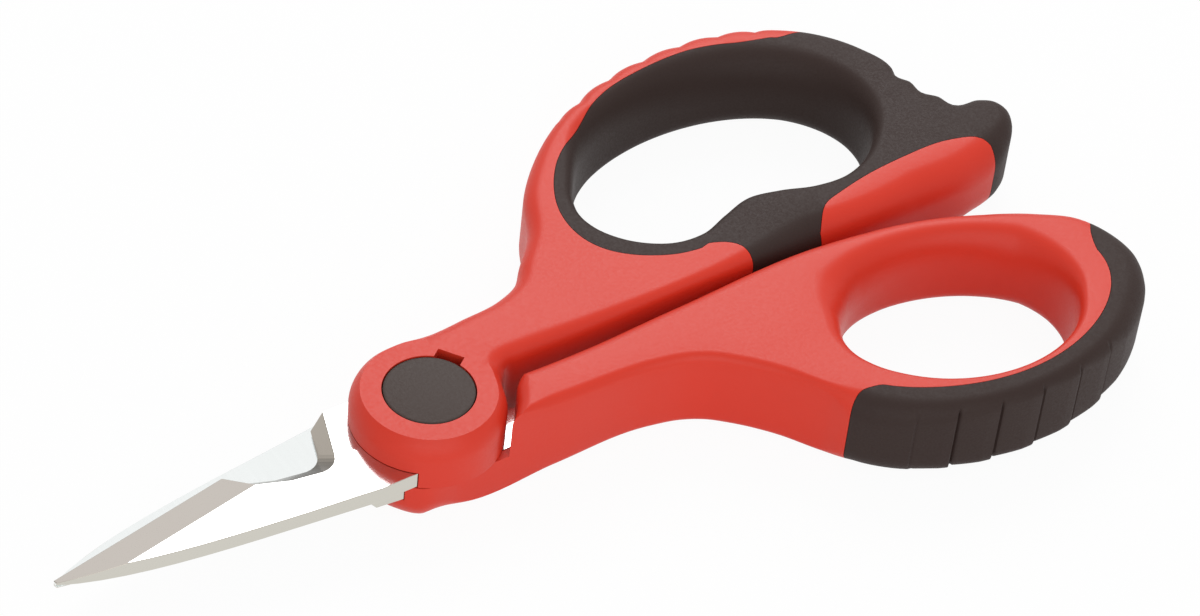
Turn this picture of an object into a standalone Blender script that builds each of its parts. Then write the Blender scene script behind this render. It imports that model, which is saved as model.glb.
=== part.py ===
"""Thread snips: two steel blades on one pivot, each moulded into a looped handle with a soft grip.

Units are metres, +Z is up. The pivot axis is the Z axis, the points lie along -X and the loops along +X.
The large loop is on the +Y side and carries the upper blade. The small loop, on the -Y side, carries the
lower blade and swings about the pivot.
"""

import math

import bmesh
import bpy
from mathutils import Matrix, Vector
from mathutils.geometry import delaunay_2d_cdt

MM = 0.001

# Clearances
FIT_GAP = 0.3 * MM
STACK_GAP = 0.15 * MM
BOSS_CLEARANCE = 1.2 * MM
CORNER_EASE = 3.4 * MM
CORNER_SPREAD = math.radians(12)

# Heights
BOSS_HEIGHT = 14.0 * MM
HANDLE_HEIGHT = 12.8 * MM
MATING_HEIGHT = 6.2 * MM
BOSS_BLEND = 18.0 * MM

# Pivot
BOSS_WALL = 1.9 * MM
BOSS_EDGE = 5.2 * MM
BOSS_EDGE_SWEEP = math.radians(43)
SHANK_RADIUS = 3.0 * MM
SHANK_CLEARANCE = 0.2 * MM
HEAD_RADIUS = 5.0 * MM
SPANNER_HOLE_RADIUS = 0.7 * MM
SPANNER_HOLE_SPACING = 5.0 * MM
SPANNER_HOLE_DEPTH = 1.4 * MM
WASHER_RADIUS = 5.4 * MM
WASHER_THICKNESS = 0.6 * MM
SPRING_RADIUS = 4.9 * MM
SPRING_THICKNESS = 0.4 * MM
SPRING_DISH = 0.3 * MM
NUT_WIDTH = 8.0 * MM
NUT_HEIGHT = 1.7 * MM
CAP_RADIUS = 6.2 * MM
CAP_THICKNESS = 0.9 * MM
CAP_SKIRT_HEIGHT = 1.3 * MM
CAP_SKIRT_WALL = 0.7 * MM
PRY_SLOT_LENGTH = 3.8 * MM
PRY_SLOT_REACH = 1.4 * MM
PRY_SLOT_DEPTH = 2.0 * MM
PRY_SLOT_ANGLE = math.radians(35)

# Blade, in the place of the upper one: spine on -Y, cutting edge on +Y
BLADE_REACH = 55.9 * MM
BLADE_THICKNESS = 2.5 * MM
TIP_WIDTH = 0.8 * MM
GRIND_THICKNESS = 2.35 * MM
TAPER_START = 15.0 * MM
TAPER_END = 22.5 * MM
HUB_SHOULDER = 0.2 * MM
SPINE_ROOT = 12.0 * MM
SPINE_OFFSET = 8.2 * MM
SPINE_BOW_REACH = 30.0 * MM
SPINE_BOW = 6.1 * MM
SPINE_TURN_REACH = 46.0 * MM
SPINE_TURN = 5.0 * MM
BLOCK_REACH = 11.7 * MM
BLOCK_OFFSET = 7.5 * MM
HEEL_REACH = 28.5 * MM
HEEL_OFFSET = 5.4 * MM
BEVEL_REACH = 26.0 * MM
BEVEL_OFFSET = 0.6 * MM
EDGE_LAND = 0.15 * MM
NOTCH_LEAN = 3.4 * MM
NOTCH_FLOOR = 1.9 * MM
NOTCH_RADIUS = 3.0 * MM
NOTCH_SLANT_BACK = 3.1 * MM
NOTCH_SLANT_TIP = 0.7 * MM
TANG_LENGTH = 36.0 * MM
TANG_WIDTH = 6.0 * MM
TANG_INSET = 0.5 * MM
TANG_END_RADIUS = 2.4 * MM

# Large loop with its arm and tail
LARGE_HOLE_X = 61.25 * MM
LARGE_HOLE_Y = 21.1 * MM
LARGE_HOLE_LENGTH = 48.2 * MM
LARGE_HOLE_WIDTH = 31.8 * MM
LARGE_HOLE_TILT = math.radians(3.3)
HOLE_BULGE = 1.2 * MM
HOLE_BULGE_ANGLE = math.radians(-25)
HOLE_BULGE_SPREAD = math.radians(38)
SHOULDER_DEPTH = 1.5 * MM
SHOULDER_ANGLE = math.radians(151)
SHOULDER_SPREAD = math.radians(24)
SADDLE_X = 60.0 * MM
SADDLE_RISE = 6.5 * MM
SADDLE_FRONT_SPAN = 9.3 * MM
SADDLE_REAR_SPAN = 10.8 * MM
LARGE_END_WALL = 10.7 * MM
LARGE_REAR_WALL = 9.6 * MM
LARGE_LOOP_SHIFT_X = -0.3 * MM
LARGE_LOOP_SHIFT_Y = -4.2 * MM
LARGE_LOOP_TILT = math.radians(19)
LARGE_ARM_FACE = 0.5 * MM
ARM_FILLET = 2.2 * MM
LARGE_ARM_REAR = 10.2 * MM
LARGE_ARM_NECK = 18.0 * MM
TAIL_X = 104.15 * MM
TAIL_Y = 9.0 * MM
TAIL_NOSE_RADIUS = 3.85 * MM
TAIL_BELLY = 11.5 * MM
TAIL_THROAT = 1.4 * MM
TAIL_WAVES = ((0.224, 0.29), (0.456, 1.0), (0.712, 0.51), (0.938, 0.84), (1.08, 0.17))
LARGE_EDGE = 2.4 * MM
PETAL_EDGE = 6.2 * MM
PETAL_SWEEP = math.radians(62)
LARGE_HOLE_EDGE = 1.8 * MM
LARGE_HOLE_FLARE = 1.8 * MM

# Small loop with its arm
SMALL_HOLE_X = 72.7 * MM
SMALL_HOLE_Y = -20.95 * MM
SMALL_HOLE_LENGTH = 35.2 * MM
SMALL_HOLE_WIDTH = 25.9 * MM
SMALL_HOLE_TILT = math.radians(-10.9)
SMALL_END_WALL = 9.85 * MM
SMALL_SIDE_WALL = 3.5 * MM
SMALL_LOOP_SHIFT_X = 1.9 * MM
SMALL_LOOP_SHIFT_Y = -1.75 * MM
SMALL_LOOP_TILT = math.radians(2)
SMALL_ARM_FACE = -1.1 * MM
SMALL_ARM_DRAFT = 1.4 * MM
SMALL_ARM_WALL = 0.5 * MM
SMALL_ARM_SPREAD = 1.1 * MM
SMALL_ARM_LENGTH = 30.0 * MM
SMALL_NECK_HOLLOW = 3.44 * MM
SMALL_EDGE = 1.3 * MM
SMALL_REAR_EDGE = 2.2 * MM
SMALL_GRIP_EDGE = 3.2 * MM
SMALL_HOLE_EDGE = 1.4 * MM
SMALL_HOLE_FLARE = 2.2 * MM
THUMB_FLARE = 3.0 * MM
THUMB_REST = 2.6 * MM
THUMB_REST_ANGLE = math.radians(147)
THUMB_REST_SPREAD = math.radians(18)

# Soft grips and the rib of hard core inside them
LINER_WIDTH = 3.0 * MM
LINER_PINCH = 1.2 * MM
LINER_SWELL = 1.1 * MM
LINER_SWELL_ANGLE = math.radians(203)
LINER_SWELL_SPREAD = math.radians(20)
STRIP_RISE = 4.0 * MM
STRIP_END = math.radians(34)
STRIP_START = math.radians(110)
ARM_END = 53.2 * MM
PETAL_START = 66.0 * MM
PETAL_END = 98.5 * MM
PETAL_DEPTH = 7.4 * MM
RIB_HEIGHT = 5.0 * MM
RIB_MARGIN = 0.8 * MM
RIB_WIDTH = 2.4 * MM
KEY_DEPTH = 1.2 * MM
GRIP_RIM_LENGTH = 47.2 * MM
GRIP_RIM_WIDTH = 29.2 * MM
GRIP_RIM_SHIFT = 0.8 * MM
GRIP_RIM_TILT = math.radians(-4.8)
GRIP_CORNER_REACH = 4.3 * MM
GRIP_CORNER = ((-0.5, 0.18), (-1.0, 0.18), (-1.4, 0.05))
GRIP_SHOULDER = ((0.21, 0.53), (0.6, 1.12))
GRIP_START = math.radians(-143)
GRIP_END = math.radians(2)
GROOVE_COUNT = 6
GROOVE_FIRST = math.radians(-64)
GROOVE_STEP = math.radians(-14.4)
GROOVE_DEPTH = 0.6 * MM
GROOVE_RAMP = 4.5 * MM
GROOVE_FACE = 0.5 * MM
SCALLOP_COUNT = 6
SCALLOP_FIRST = math.radians(38)
SCALLOP_STEP = math.radians(11.4)
SCALLOP_RADIUS = 2.2 * MM
SCALLOP_DEPTH = 0.5 * MM

# Mesh fineness
SPAN = 2.6 * MM
ARC_STEPS = 3
ROUND_STEPS = 32
FACE_GRID = 5.0 * MM
EDGE_SHARE = 0.45

HUB_RADIUS = max(SPINE_OFFSET, BLOCK_OFFSET) + HUB_SHOULDER
BOSS_RADIUS = HUB_RADIUS + FIT_GAP + BOSS_WALL
MID = BOSS_HEIGHT / 2
UPPER_LOW = MATING_HEIGHT + FIT_GAP / 2
UPPER_TOP = UPPER_LOW + BLADE_THICKNESS
LOWER_TOP = MATING_HEIGHT - FIT_GAP / 2
LOWER_LOW = LOWER_TOP - BLADE_THICKNESS
REACH_PAST = 6 * MM

for leftover in list(bpy.data.objects):
    bpy.data.objects.remove(leftover)


def new_collection(name):
    collection = bpy.data.collections.new(name)
    bpy.context.scene.collection.children.link(collection)
    return collection


PARTS = new_collection("thread_snips")
CUTTERS = new_collection("thread_snips_cutters")


def finish_material(name, colour, roughness, metallic=0.0):
    material = bpy.data.materials.new(name)
    material.use_nodes = True
    shader = material.node_tree.nodes["Principled BSDF"]
    shader.inputs["Base Color"].default_value = (*colour, 1)
    shader.inputs["Roughness"].default_value = roughness
    shader.inputs["Metallic"].default_value = metallic
    return material


RED_PLASTIC = ((0.70, 0.075, 0.052), 0.45)
BLACK_RUBBER = ((0.028, 0.023, 0.021), 0.6)
BRIGHT_STEEL = ((0.72, 0.71, 0.69), 0.22, 1.0)
PLATED_STEEL = ((0.55, 0.55, 0.53), 0.35, 1.0)


def mesh_object(name, bm, finish=None):
    """A part when it has a finish, otherwise a cutter."""
    bmesh.ops.recalc_face_normals(bm, faces=bm.faces)
    mesh = bpy.data.meshes.new(name)
    bm.to_mesh(mesh)
    bm.free()
    made = bpy.data.objects.new(name, mesh)
    if finish:
        mesh.materials.append(finish_material(name, *finish))
        mesh.shade_smooth()
        mesh.set_sharp_from_angle(angle=math.radians(35))
        PARTS.objects.link(made)
    else:
        made.hide_render = True
        made.display_type = "WIRE"
        CUTTERS.objects.link(made)
    return made


def boolean(target, tool, operation="DIFFERENCE"):
    step = target.modifiers.new(tool.name, "BOOLEAN")
    step.operation = operation
    step.object = tool
    step.solver = "EXACT"


def cylinder(name, radius, low, high, finish=None, sides=ROUND_STEPS):
    bm = bmesh.new()
    place = Matrix.Translation((0, 0, (low + high) / 2))
    bmesh.ops.create_cone(
        bm, cap_ends=True, segments=sides, radius1=radius, radius2=radius, depth=high - low, matrix=place
    )
    return mesh_object(name, bm, finish)


def turned(name, profile, finish, closed):
    """A profile of (radius, height) points, run down its outer side, turned about the pivot axis."""
    mesh = bpy.data.meshes.new(name)
    count = len(profile)
    edges = [(i, (i + 1) % count) for i in range(count if closed else count - 1)]
    mesh.from_pydata([(radius, 0, height) for radius, height in profile], edges, [])
    mesh.materials.append(finish_material(name, *finish))
    made = bpy.data.objects.new(name, mesh)
    PARTS.objects.link(made)
    screw = made.modifiers.new("turn", "SCREW")
    screw.steps = ROUND_STEPS
    screw.render_steps = ROUND_STEPS
    screw.use_merge_vertices = True
    screw.merge_threshold = 0.00001
    return made


def plate(name, outline, low, high, finish=None):
    """A flat outline as a filled 2D curve, extruded and made a mesh."""
    curve = bpy.data.curves.new(name, "CURVE")
    curve.dimensions = "2D"
    curve.fill_mode = "BOTH"
    curve.extrude = (high - low) / 2
    spline = curve.splines.new("POLY")
    spline.points.add(len(outline) - 1)
    for point, place in zip(spline.points, outline):
        point.co = (place[0], place[1], 0, 1)
    spline.use_cyclic_u = True
    drawn = bpy.data.objects.new(name, curve)
    CUTTERS.objects.link(drawn)
    graph = bpy.context.evaluated_depsgraph_get()
    mesh = bpy.data.meshes.new_from_object(drawn.evaluated_get(graph))
    bpy.data.objects.remove(drawn)
    bm = bmesh.new()
    bm.from_mesh(mesh)
    bpy.data.meshes.remove(mesh)
    bmesh.ops.remove_doubles(bm, verts=bm.verts, dist=0.000001)
    bmesh.ops.translate(bm, verts=bm.verts, vec=(0, 0, (low + high) / 2))
    return mesh_object(name, bm, finish)


def ellipse_point(centre, half_length, half_width, tilt, angle):
    along = half_length * math.cos(angle)
    across = half_width * math.sin(angle)
    turn = Matrix.Rotation(tilt, 2)
    return centre + turn @ Vector((along, across))


def bell(offset, spread):
    return math.exp(-((offset / spread) ** 2))


def smooth_loop(stations):
    """A closed smooth curve through (x, y, edge radius, edge sweep) stations, in points about SPAN apart."""
    marks = [Vector((*station, math.pi / 2)[:4]) for station in stations]
    count = len(marks)
    lengths = [(marks[(i + 1) % count].xy - marks[i].xy).length for i in range(count)]
    slopes = []
    for i in range(count):
        before = (marks[i] - marks[i - 1]) / lengths[i - 1]
        after = (marks[(i + 1) % count] - marks[i]) / lengths[i]
        share = lengths[i - 1] / (lengths[i - 1] + lengths[i])
        slopes.append(before * (1 - share) + after * share)
    points = []
    for i in range(count):
        start, end = marks[i], marks[(i + 1) % count]
        steps = max(1, math.ceil(lengths[i] / SPAN))
        for step in range(steps):
            t = step / steps
            bend = lengths[i] * (t * (1 - t) ** 2 * slopes[i] - t**2 * (1 - t) * slopes[(i + 1) % count])
            points.append(start.lerp(end, t * t * (3 - 2 * t)) + bend)
    return points


def left_normals(loop):
    """Unit normals to the left of the run: inwards on an anticlockwise loop."""
    normals = []
    for i in range(len(loop)):
        run = Vector(loop[(i + 1) % len(loop)]).xy - Vector(loop[i - 1]).xy
        normals.append(Vector((-run.y, run.x)).normalized())
    return normals


def inset_loop(loop, distance):
    """The anticlockwise loop moved inwards, or outwards where the distance is negative."""
    moved = []
    nearest = 0.97 * abs(distance)
    for point, normal in zip(loop, left_normals(loop)):
        place = point.xy + normal * distance
        if min((place - other.xy).length for other in loop) >= nearest:
            moved.append(place)
    return moved


def inside(place, loop):
    hit = False
    for i in range(len(loop)):
        one, two = loop[i - 1], loop[i]
        if (one[1] > place[1]) != (two[1] > place[1]):
            crossing = one[0] + (two[0] - one[0]) * (place[1] - one[1]) / (two[1] - one[1])
            hit ^= place[0] < crossing
    return hit


def half_height(place):
    """Half the thickness of a handle, full at the boss and easing down to the loops."""
    share = min(1, max(0, (place.length - BOSS_RADIUS) / BOSS_BLEND))
    ease = share * share * (3 - 2 * share)
    return (BOSS_HEIGHT + (HANDLE_HEIGHT - BOSS_HEIGHT) * ease) / 2


def rounded_wall(bm, loop, into_material):
    """Rings of a wall whose edges are rounded by each point's own radius, from the lower face to the upper."""
    turns = [(-1, k) for k in range(ARC_STEPS, -1, -1)] + [(1, k) for k in range(ARC_STEPS + 1)]
    normals = left_normals(loop)
    rings = []
    for side, k in turns:
        ring = []
        for point, normal in zip(loop, normals):
            angle = point.w * k / ARC_STEPS
            place = point.xy + normal * into_material * point.z * (1 - math.cos(angle))
            lift = half_height(place) - point.z * (math.sin(point.w) - math.sin(angle))
            ring.append(bm.verts.new((place.x, place.y, MID + side * lift)))
        rings.append(ring)
    for lower, upper in zip(rings, rings[1:]):
        for i in range(len(lower)):
            bm.faces.new((lower[i - 1], lower[i], upper[i], upper[i - 1]))
    return rings


def flat_face(bm, outer_ring, hole_ring, side):
    """The flat between the outer edge and the hole, with a grid of points where its height eases."""
    rims = outer_ring + hole_ring
    places = [vert.co.xy for vert in rims]
    outer, hole = places[: len(outer_ring)], places[len(outer_ring) :]
    edges = [(i, (i + 1) % len(outer)) for i in range(len(outer))]
    edges += [(len(outer) + i, len(outer) + (i + 1) % len(hole)) for i in range(len(hole))]
    verts = list(rims)
    reach = math.ceil((BOSS_RADIUS + BOSS_BLEND) / FACE_GRID)
    for column in range(-reach, reach + 1):
        for row in range(-reach, reach + 1):
            place = Vector((column, row)) * FACE_GRID
            clear = min((place - rim).length for rim in places) > FACE_GRID / 2
            if clear and inside(place, outer) and not inside(place, hole):
                places.append(place)
                verts.append(bm.verts.new((place.x, place.y, MID + side * half_height(place))))
    found = delaunay_2d_cdt(places, edges, [], 1, 0.0000001)
    sources = [origin[0] for origin in found[3]]
    for triangle in found[2]:
        corners = [verts[sources[i]] for i in triangle]
        centre = sum((corner.co.xy for corner in corners), Vector((0, 0))) / 3
        if not inside(centre, hole):
            bm.faces.new(corners)


def fitted_edges(loop, other):
    """The loop with its edge radii kept under half the wall between it and the other loop."""
    fitted = []
    for point in loop:
        wall = min((point.xy - across.xy).length for across in other)
        radius = min(point.z, EDGE_SHARE * wall / (1 - math.cos(point.w)))
        fitted.append(Vector((point.x, point.y, radius, point.w)))
    return fitted


def looped_slab(name, outer, hole, finish):
    """A slab with a hole, its edges rounded: both loops are anticlockwise."""
    bm = bmesh.new()
    outer_rings = rounded_wall(bm, fitted_edges(outer, hole), 1)
    hole_rings = rounded_wall(bm, fitted_edges(hole, outer), -1)
    flat_face(bm, outer_rings[0], hole_rings[0], -1)
    flat_face(bm, outer_rings[-1], hole_rings[-1], 1)
    return mesh_object(name, bm, finish)


def boss_stations(first, last):
    """Stations on the boss from one angle in degrees to the other."""
    steps = max(1, round(abs(last - first) / 24))
    angles = [math.radians(first + (last - first) * k / steps) for k in range(steps + 1)]
    return [(BOSS_RADIUS * math.cos(a), BOSS_RADIUS * math.sin(a), BOSS_EDGE, BOSS_EDGE_SWEEP) for a in angles]


def large_loop_point(angle):
    centre = Vector((LARGE_HOLE_X + LARGE_LOOP_SHIFT_X, LARGE_HOLE_Y + LARGE_LOOP_SHIFT_Y))
    half_length = LARGE_HOLE_LENGTH / 2 + LARGE_END_WALL
    half_width = LARGE_HOLE_WIDTH / 2 + LARGE_REAR_WALL
    return ellipse_point(centre, half_length, half_width, LARGE_LOOP_TILT, math.radians(angle))


def large_hole_point(angle, margin=0.0):
    centre = Vector((LARGE_HOLE_X, LARGE_HOLE_Y))
    half_length = LARGE_HOLE_LENGTH / 2 + margin
    half_width = LARGE_HOLE_WIDTH / 2 + margin
    spot = ellipse_point(centre, half_length, half_width, LARGE_HOLE_TILT, angle)
    bulge = HOLE_BULGE * bell(math.remainder(angle - HOLE_BULGE_ANGLE, 2 * math.pi), HOLE_BULGE_SPREAD)
    shoulder = SHOULDER_DEPTH * bell(angle - SHOULDER_ANGLE, SHOULDER_SPREAD)
    spot += (spot - centre).normalized() * (bulge - shoulder)
    span = SADDLE_FRONT_SPAN if spot.x < SADDLE_X else SADDLE_REAR_SPAN
    if spot.y < LARGE_HOLE_Y:
        spot.y += SADDLE_RISE * bell(spot.x - SADDLE_X, span)
    return spot


def large_outline():
    """Outer edge of the large handle, anticlockwise from the arm beside the boss."""
    face = LARGE_ARM_FACE
    root = BOSS_RADIUS + ARM_FILLET
    nose = Vector((TAIL_X - TAIL_NOSE_RADIUS, TAIL_Y))
    nose_edge = 0.6 * TAIL_NOSE_RADIUS
    stations = [
        (root, face, LARGE_EDGE),
        (root + ARM_FILLET, face, LARGE_EDGE),
        (ARM_END, face, LARGE_EDGE),
        (PETAL_START, face, PETAL_EDGE, PETAL_SWEEP),
        (TAIL_X - 1.9 * TAIL_BELLY, face, PETAL_EDGE, PETAL_SWEEP),
        (TAIL_X - TAIL_BELLY, face + 0.02 * TAIL_BELLY, PETAL_EDGE, PETAL_SWEEP),
        (TAIL_X - 0.4 * TAIL_BELLY, face + 0.22 * TAIL_BELLY, (PETAL_EDGE + nose_edge) / 2),
    ]
    for degrees in (-38, -5, 35, 75):
        angle = math.radians(degrees)
        spot = nose + TAIL_NOSE_RADIUS * Vector((math.cos(angle), math.sin(angle)))
        stations.append((spot.x, spot.y, nose_edge))
    dip = nose + TAIL_NOSE_RADIUS * Vector((-0.68, 1.17))
    stations.append((dip.x, dip.y, nose_edge))
    rise = large_loop_point(-12) - dip
    outward = Vector((rise.y, -rise.x)).normalized()
    for share, depth in TAIL_WAVES:
        spot = dip + rise * share - outward * TAIL_THROAT * depth
        stations.append((spot.x, spot.y, nose_edge))
    for degrees in range(4, 150, 16):
        spot = large_loop_point(degrees)
        stations.append((spot.x, spot.y, LARGE_EDGE))
    neck = large_loop_point(148)
    rear = LARGE_ARM_REAR
    for share, rise in ((0.62, 0.57), (0.36, 0.27), (0.0, 0.1)):
        across = LARGE_ARM_NECK + share * (neck.x - LARGE_ARM_NECK)
        stations.append((across, rear + rise * (neck.y - rear), LARGE_EDGE))
    stations.append((BOSS_RADIUS, rear, LARGE_EDGE))
    stations += boss_stations(84, 350)
    return smooth_loop(stations)


def large_hole():
    stations = []
    for degrees in range(0, 360, 12):
        angle = math.radians(degrees)
        spot = large_hole_point(angle)
        flare = LARGE_HOLE_FLARE * max(0, math.cos(angle - math.radians(60)))
        stations.append((spot.x, spot.y, LARGE_HOLE_EDGE + flare))
    return smooth_loop(stations)


def small_loop_point(angle, hole=False):
    centre = Vector((SMALL_HOLE_X, SMALL_HOLE_Y))
    half_length = SMALL_HOLE_LENGTH / 2
    half_width = SMALL_HOLE_WIDTH / 2
    if hole:
        return ellipse_point(centre, half_length, half_width, SMALL_HOLE_TILT, angle)
    centre = centre + Vector((SMALL_LOOP_SHIFT_X, SMALL_LOOP_SHIFT_Y))
    return ellipse_point(
        centre, half_length + SMALL_END_WALL, half_width + SMALL_SIDE_WALL, SMALL_LOOP_TILT, angle
    )


def small_rim_point(angle, margin=0.0):
    """Edge of the black moulding on the top of the small loop."""
    centre = Vector((SMALL_HOLE_X, SMALL_HOLE_Y + GRIP_RIM_SHIFT))
    return ellipse_point(
        centre, GRIP_RIM_LENGTH / 2 + margin, GRIP_RIM_WIDTH / 2 + margin, GRIP_RIM_TILT, angle
    )


def small_outline():
    """Outer edge of the small handle, anticlockwise from the front of its boss."""
    front = -(HUB_RADIUS + FIT_GAP + SMALL_ARM_WALL)
    rear = SMALL_ARM_FACE - SMALL_ARM_DRAFT
    root = small_loop_point(math.radians(-160))
    bend = Vector((SMALL_ARM_LENGTH, front - SMALL_ARM_SPREAD))
    stations = [
        (0, front, SMALL_EDGE),
        (SMALL_ARM_LENGTH / 2, front - SMALL_ARM_SPREAD / 3, SMALL_EDGE),
        (bend.x, bend.y, SMALL_EDGE),
    ]
    hollow = Vector((root.y - bend.y, bend.x - root.x)).normalized() * -SMALL_NECK_HOLLOW
    for share, depth in ((0.135, 0.62), (0.261, 0.93), (0.38, 1.0), (0.614, 0.9), (0.855, 0.5)):
        spot = bend.lerp(root, share) + hollow * depth
        stations.append((spot.x, spot.y, SMALL_EDGE))
    for degrees in range(-160, 60, 17):
        spot = small_loop_point(math.radians(degrees))
        stations.append((spot.x, spot.y, SMALL_GRIP_EDGE if degrees < 20 else SMALL_REAR_EDGE))
    shoulder = small_loop_point(math.radians(44))
    arm = Vector((SMALL_HOLE_X - 0.58 * SMALL_HOLE_LENGTH / 2, SMALL_ARM_FACE))
    bow = Vector((SMALL_HOLE_X + 0.42 * SMALL_HOLE_LENGTH / 2, SMALL_ARM_FACE - SMALL_ARM_DRAFT))
    for t in (0.36, 0.7, 1.0):
        spot = (1 - t) ** 2 * shoulder + 2 * t * (1 - t) * bow + t**2 * arm
        stations.append((spot.x, spot.y, SMALL_REAR_EDGE))
    stations += [
        (SMALL_ARM_LENGTH * 1.3, SMALL_ARM_FACE - SMALL_ARM_DRAFT / 3, SMALL_REAR_EDGE),
        (BOSS_RADIUS + 2 * ARM_FILLET, rear, SMALL_REAR_EDGE),
        (BOSS_RADIUS + ARM_FILLET, rear, SMALL_REAR_EDGE),
    ]
    stations += boss_stations(-5, 238)
    return smooth_loop(stations)


def small_hole():
    """The thumb hole, with a rest that leans in below on the side of the arm."""
    centre = Vector((SMALL_HOLE_X, SMALL_HOLE_Y))
    stations = []
    for degrees in range(0, 360, 15):
        angle = math.radians(degrees)
        rest = THUMB_REST * bell(angle - THUMB_REST_ANGLE, THUMB_REST_SPREAD)
        spot = small_loop_point(angle, hole=True)
        spot -= (spot - centre).normalized() * rest
        far = SMALL_HOLE_FLARE * max(0, math.cos(angle - math.radians(75)))
        thumb = THUMB_FLARE * max(0, math.cos(angle - math.radians(165))) ** 2
        stations.append((spot.x, spot.y, SMALL_HOLE_EDGE + far + thumb + 0.25 * rest))
    return smooth_loop(stations)


def liner_point(angle):
    """Edge of the black liner: pinched at the shoulder, swollen towards the arm, running out at the strip."""
    width = LINER_WIDTH - LINER_PINCH * bell(angle - SHOULDER_ANGLE, SHOULDER_SPREAD)
    width += LINER_SWELL * bell(angle - LINER_SWELL_ANGLE, LINER_SWELL_SPREAD)
    if angle < STRIP_START:
        width += STRIP_RISE * ((STRIP_START - angle) / (STRIP_START - STRIP_END)) ** 2
    return large_hole_point(angle, width)


def large_grip_region():
    """Plan of the black moulding on the large loop, anticlockwise: liner, crossing band and tail."""
    face = LARGE_ARM_FACE
    far = TAIL_X + REACH_PAST
    low = face - REACH_PAST
    top = face + PETAL_DEPTH
    region = [
        (ARM_END, low),
        (PETAL_START, low),
        (PETAL_START + 0.4 * MM, face + 0.2 * PETAL_DEPTH),
        (PETAL_START + 2.6 * MM, face + 0.62 * PETAL_DEPTH),
        (PETAL_START + 6 * MM, face + 0.78 * PETAL_DEPTH),
        (PETAL_START + 13 * MM, top - 0.4 * MM),
        (PETAL_END - 9 * MM, top + 0.4 * MM),
        (PETAL_END - 3.5 * MM, top - 0.3 * MM),
        (PETAL_END - 0.8 * MM, top - 1.7 * MM),
        (PETAL_END, top - 4 * MM),
        (PETAL_END, low),
        (far, low),
    ]
    steps = 20
    angles = [STRIP_END + (math.radians(238) - STRIP_END) * k / steps for k in range(steps + 1)]
    strip = liner_point(STRIP_END)
    region.append((far, strip.y - 0.2 * (far - strip.x)))
    region += [liner_point(angle) for angle in angles]
    region.append((ARM_END - 4 * MM, face + 5.2 * MM))
    region.append((ARM_END - 1.2 * MM, face + 3.8 * MM))
    region.append((ARM_END, face + 1.2 * MM))
    return [Vector(spot) for spot in region]


def small_grip_region():
    """Plan of the black moulding on the small loop, anticlockwise."""
    far = 2 * REACH_PAST
    region = []
    steps = 18
    for k in range(steps + 1):
        angle = GRIP_END + (GRIP_START - GRIP_END) * k / steps
        region.append(small_rim_point(angle))
    end = region[0]
    start = region[-1]
    for across, rise in GRIP_CORNER:
        region.append(start + Vector((across, rise)) * GRIP_CORNER_REACH)
    region.append(start + Vector((-far, -0.3 * far)))
    region.append(Vector((start.x, SMALL_HOLE_Y - SMALL_HOLE_WIDTH / 2 - SMALL_SIDE_WALL - far)))
    right = SMALL_HOLE_X + SMALL_HOLE_LENGTH / 2 + SMALL_END_WALL + far
    region.append(Vector((right, SMALL_HOLE_Y - SMALL_HOLE_WIDTH / 2 - SMALL_SIDE_WALL - far)))
    region.append(Vector((right, end.y + far)))
    region.append(end + Vector((0.75 * far, far)))
    for across, rise in reversed(GRIP_SHOULDER):
        region.append(end + Vector((across, rise)) * GRIP_CORNER_REACH)
    return region


def boss_room_outline():
    """Round room for the upper boss, opening out past the rear corner of the small arm to ease it."""
    spots = []
    for degrees in range(0, 360, 10):
        angle = math.radians(degrees)
        ease = CORNER_EASE * bell(angle - math.radians(360 if degrees > 180 else 0), CORNER_SPREAD)
        reach = BOSS_RADIUS + BOSS_CLEARANCE + ease
        spots.append(reach * Vector((math.cos(angle), math.sin(angle))))
    return spots


def large_rib_outline():
    """Plan of the rib that ties the petal to the arm, inside the black moulding, anticlockwise."""
    near = LINER_WIDTH + RIB_MARGIN
    angles = [math.radians(degrees) for degrees in range(215, 386, 10)]
    spots = [large_hole_point(angle, near + RIB_WIDTH) for angle in angles]
    spots += [large_hole_point(angle, near) for angle in reversed(angles)]
    return spots


def small_rib_outline():
    """Plan of the key that stands out from the small loop into its grip, anticlockwise."""
    steps = 14
    first = GRIP_START + math.radians(14)
    angles = [first + (GRIP_END - math.radians(14) - first) * k / steps for k in range(steps + 1)]
    spots = [small_rim_point(angle, KEY_DEPTH) for angle in angles]
    spots += [small_rim_point(angle, -KEY_DEPTH) for angle in reversed(angles)]
    return spots


def split_handle(name, grip_name, outline, hole, region, rib_outline):
    """A hard core and its soft grip: the core keeps a rib inside the grip, which is moulded round it."""
    low, high = -REACH_PAST, BOSS_HEIGHT + REACH_PAST
    handle = looped_slab(name, outline, hole, RED_PLASTIC)
    grip = looped_slab(grip_name, outline, hole, BLACK_RUBBER)
    half = RIB_HEIGHT / 2
    rib = plate(name + "_rib", rib_outline, MID - half, MID + half)
    room_outline = inset_loop(rib_outline, -FIT_GAP)
    rib_room = plate(name + "_rib_room", room_outline, MID - half - FIT_GAP, MID + half + FIT_GAP)
    grip_room = plate(name + "_grip_room", region, low, high)
    boolean(grip_room, rib)
    boolean(handle, grip_room)
    boolean(grip, plate(name + "_grip_block", inset_loop(region, FIT_GAP), low, high), "INTERSECT")
    boolean(grip, rib_room)
    return handle, grip


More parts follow.
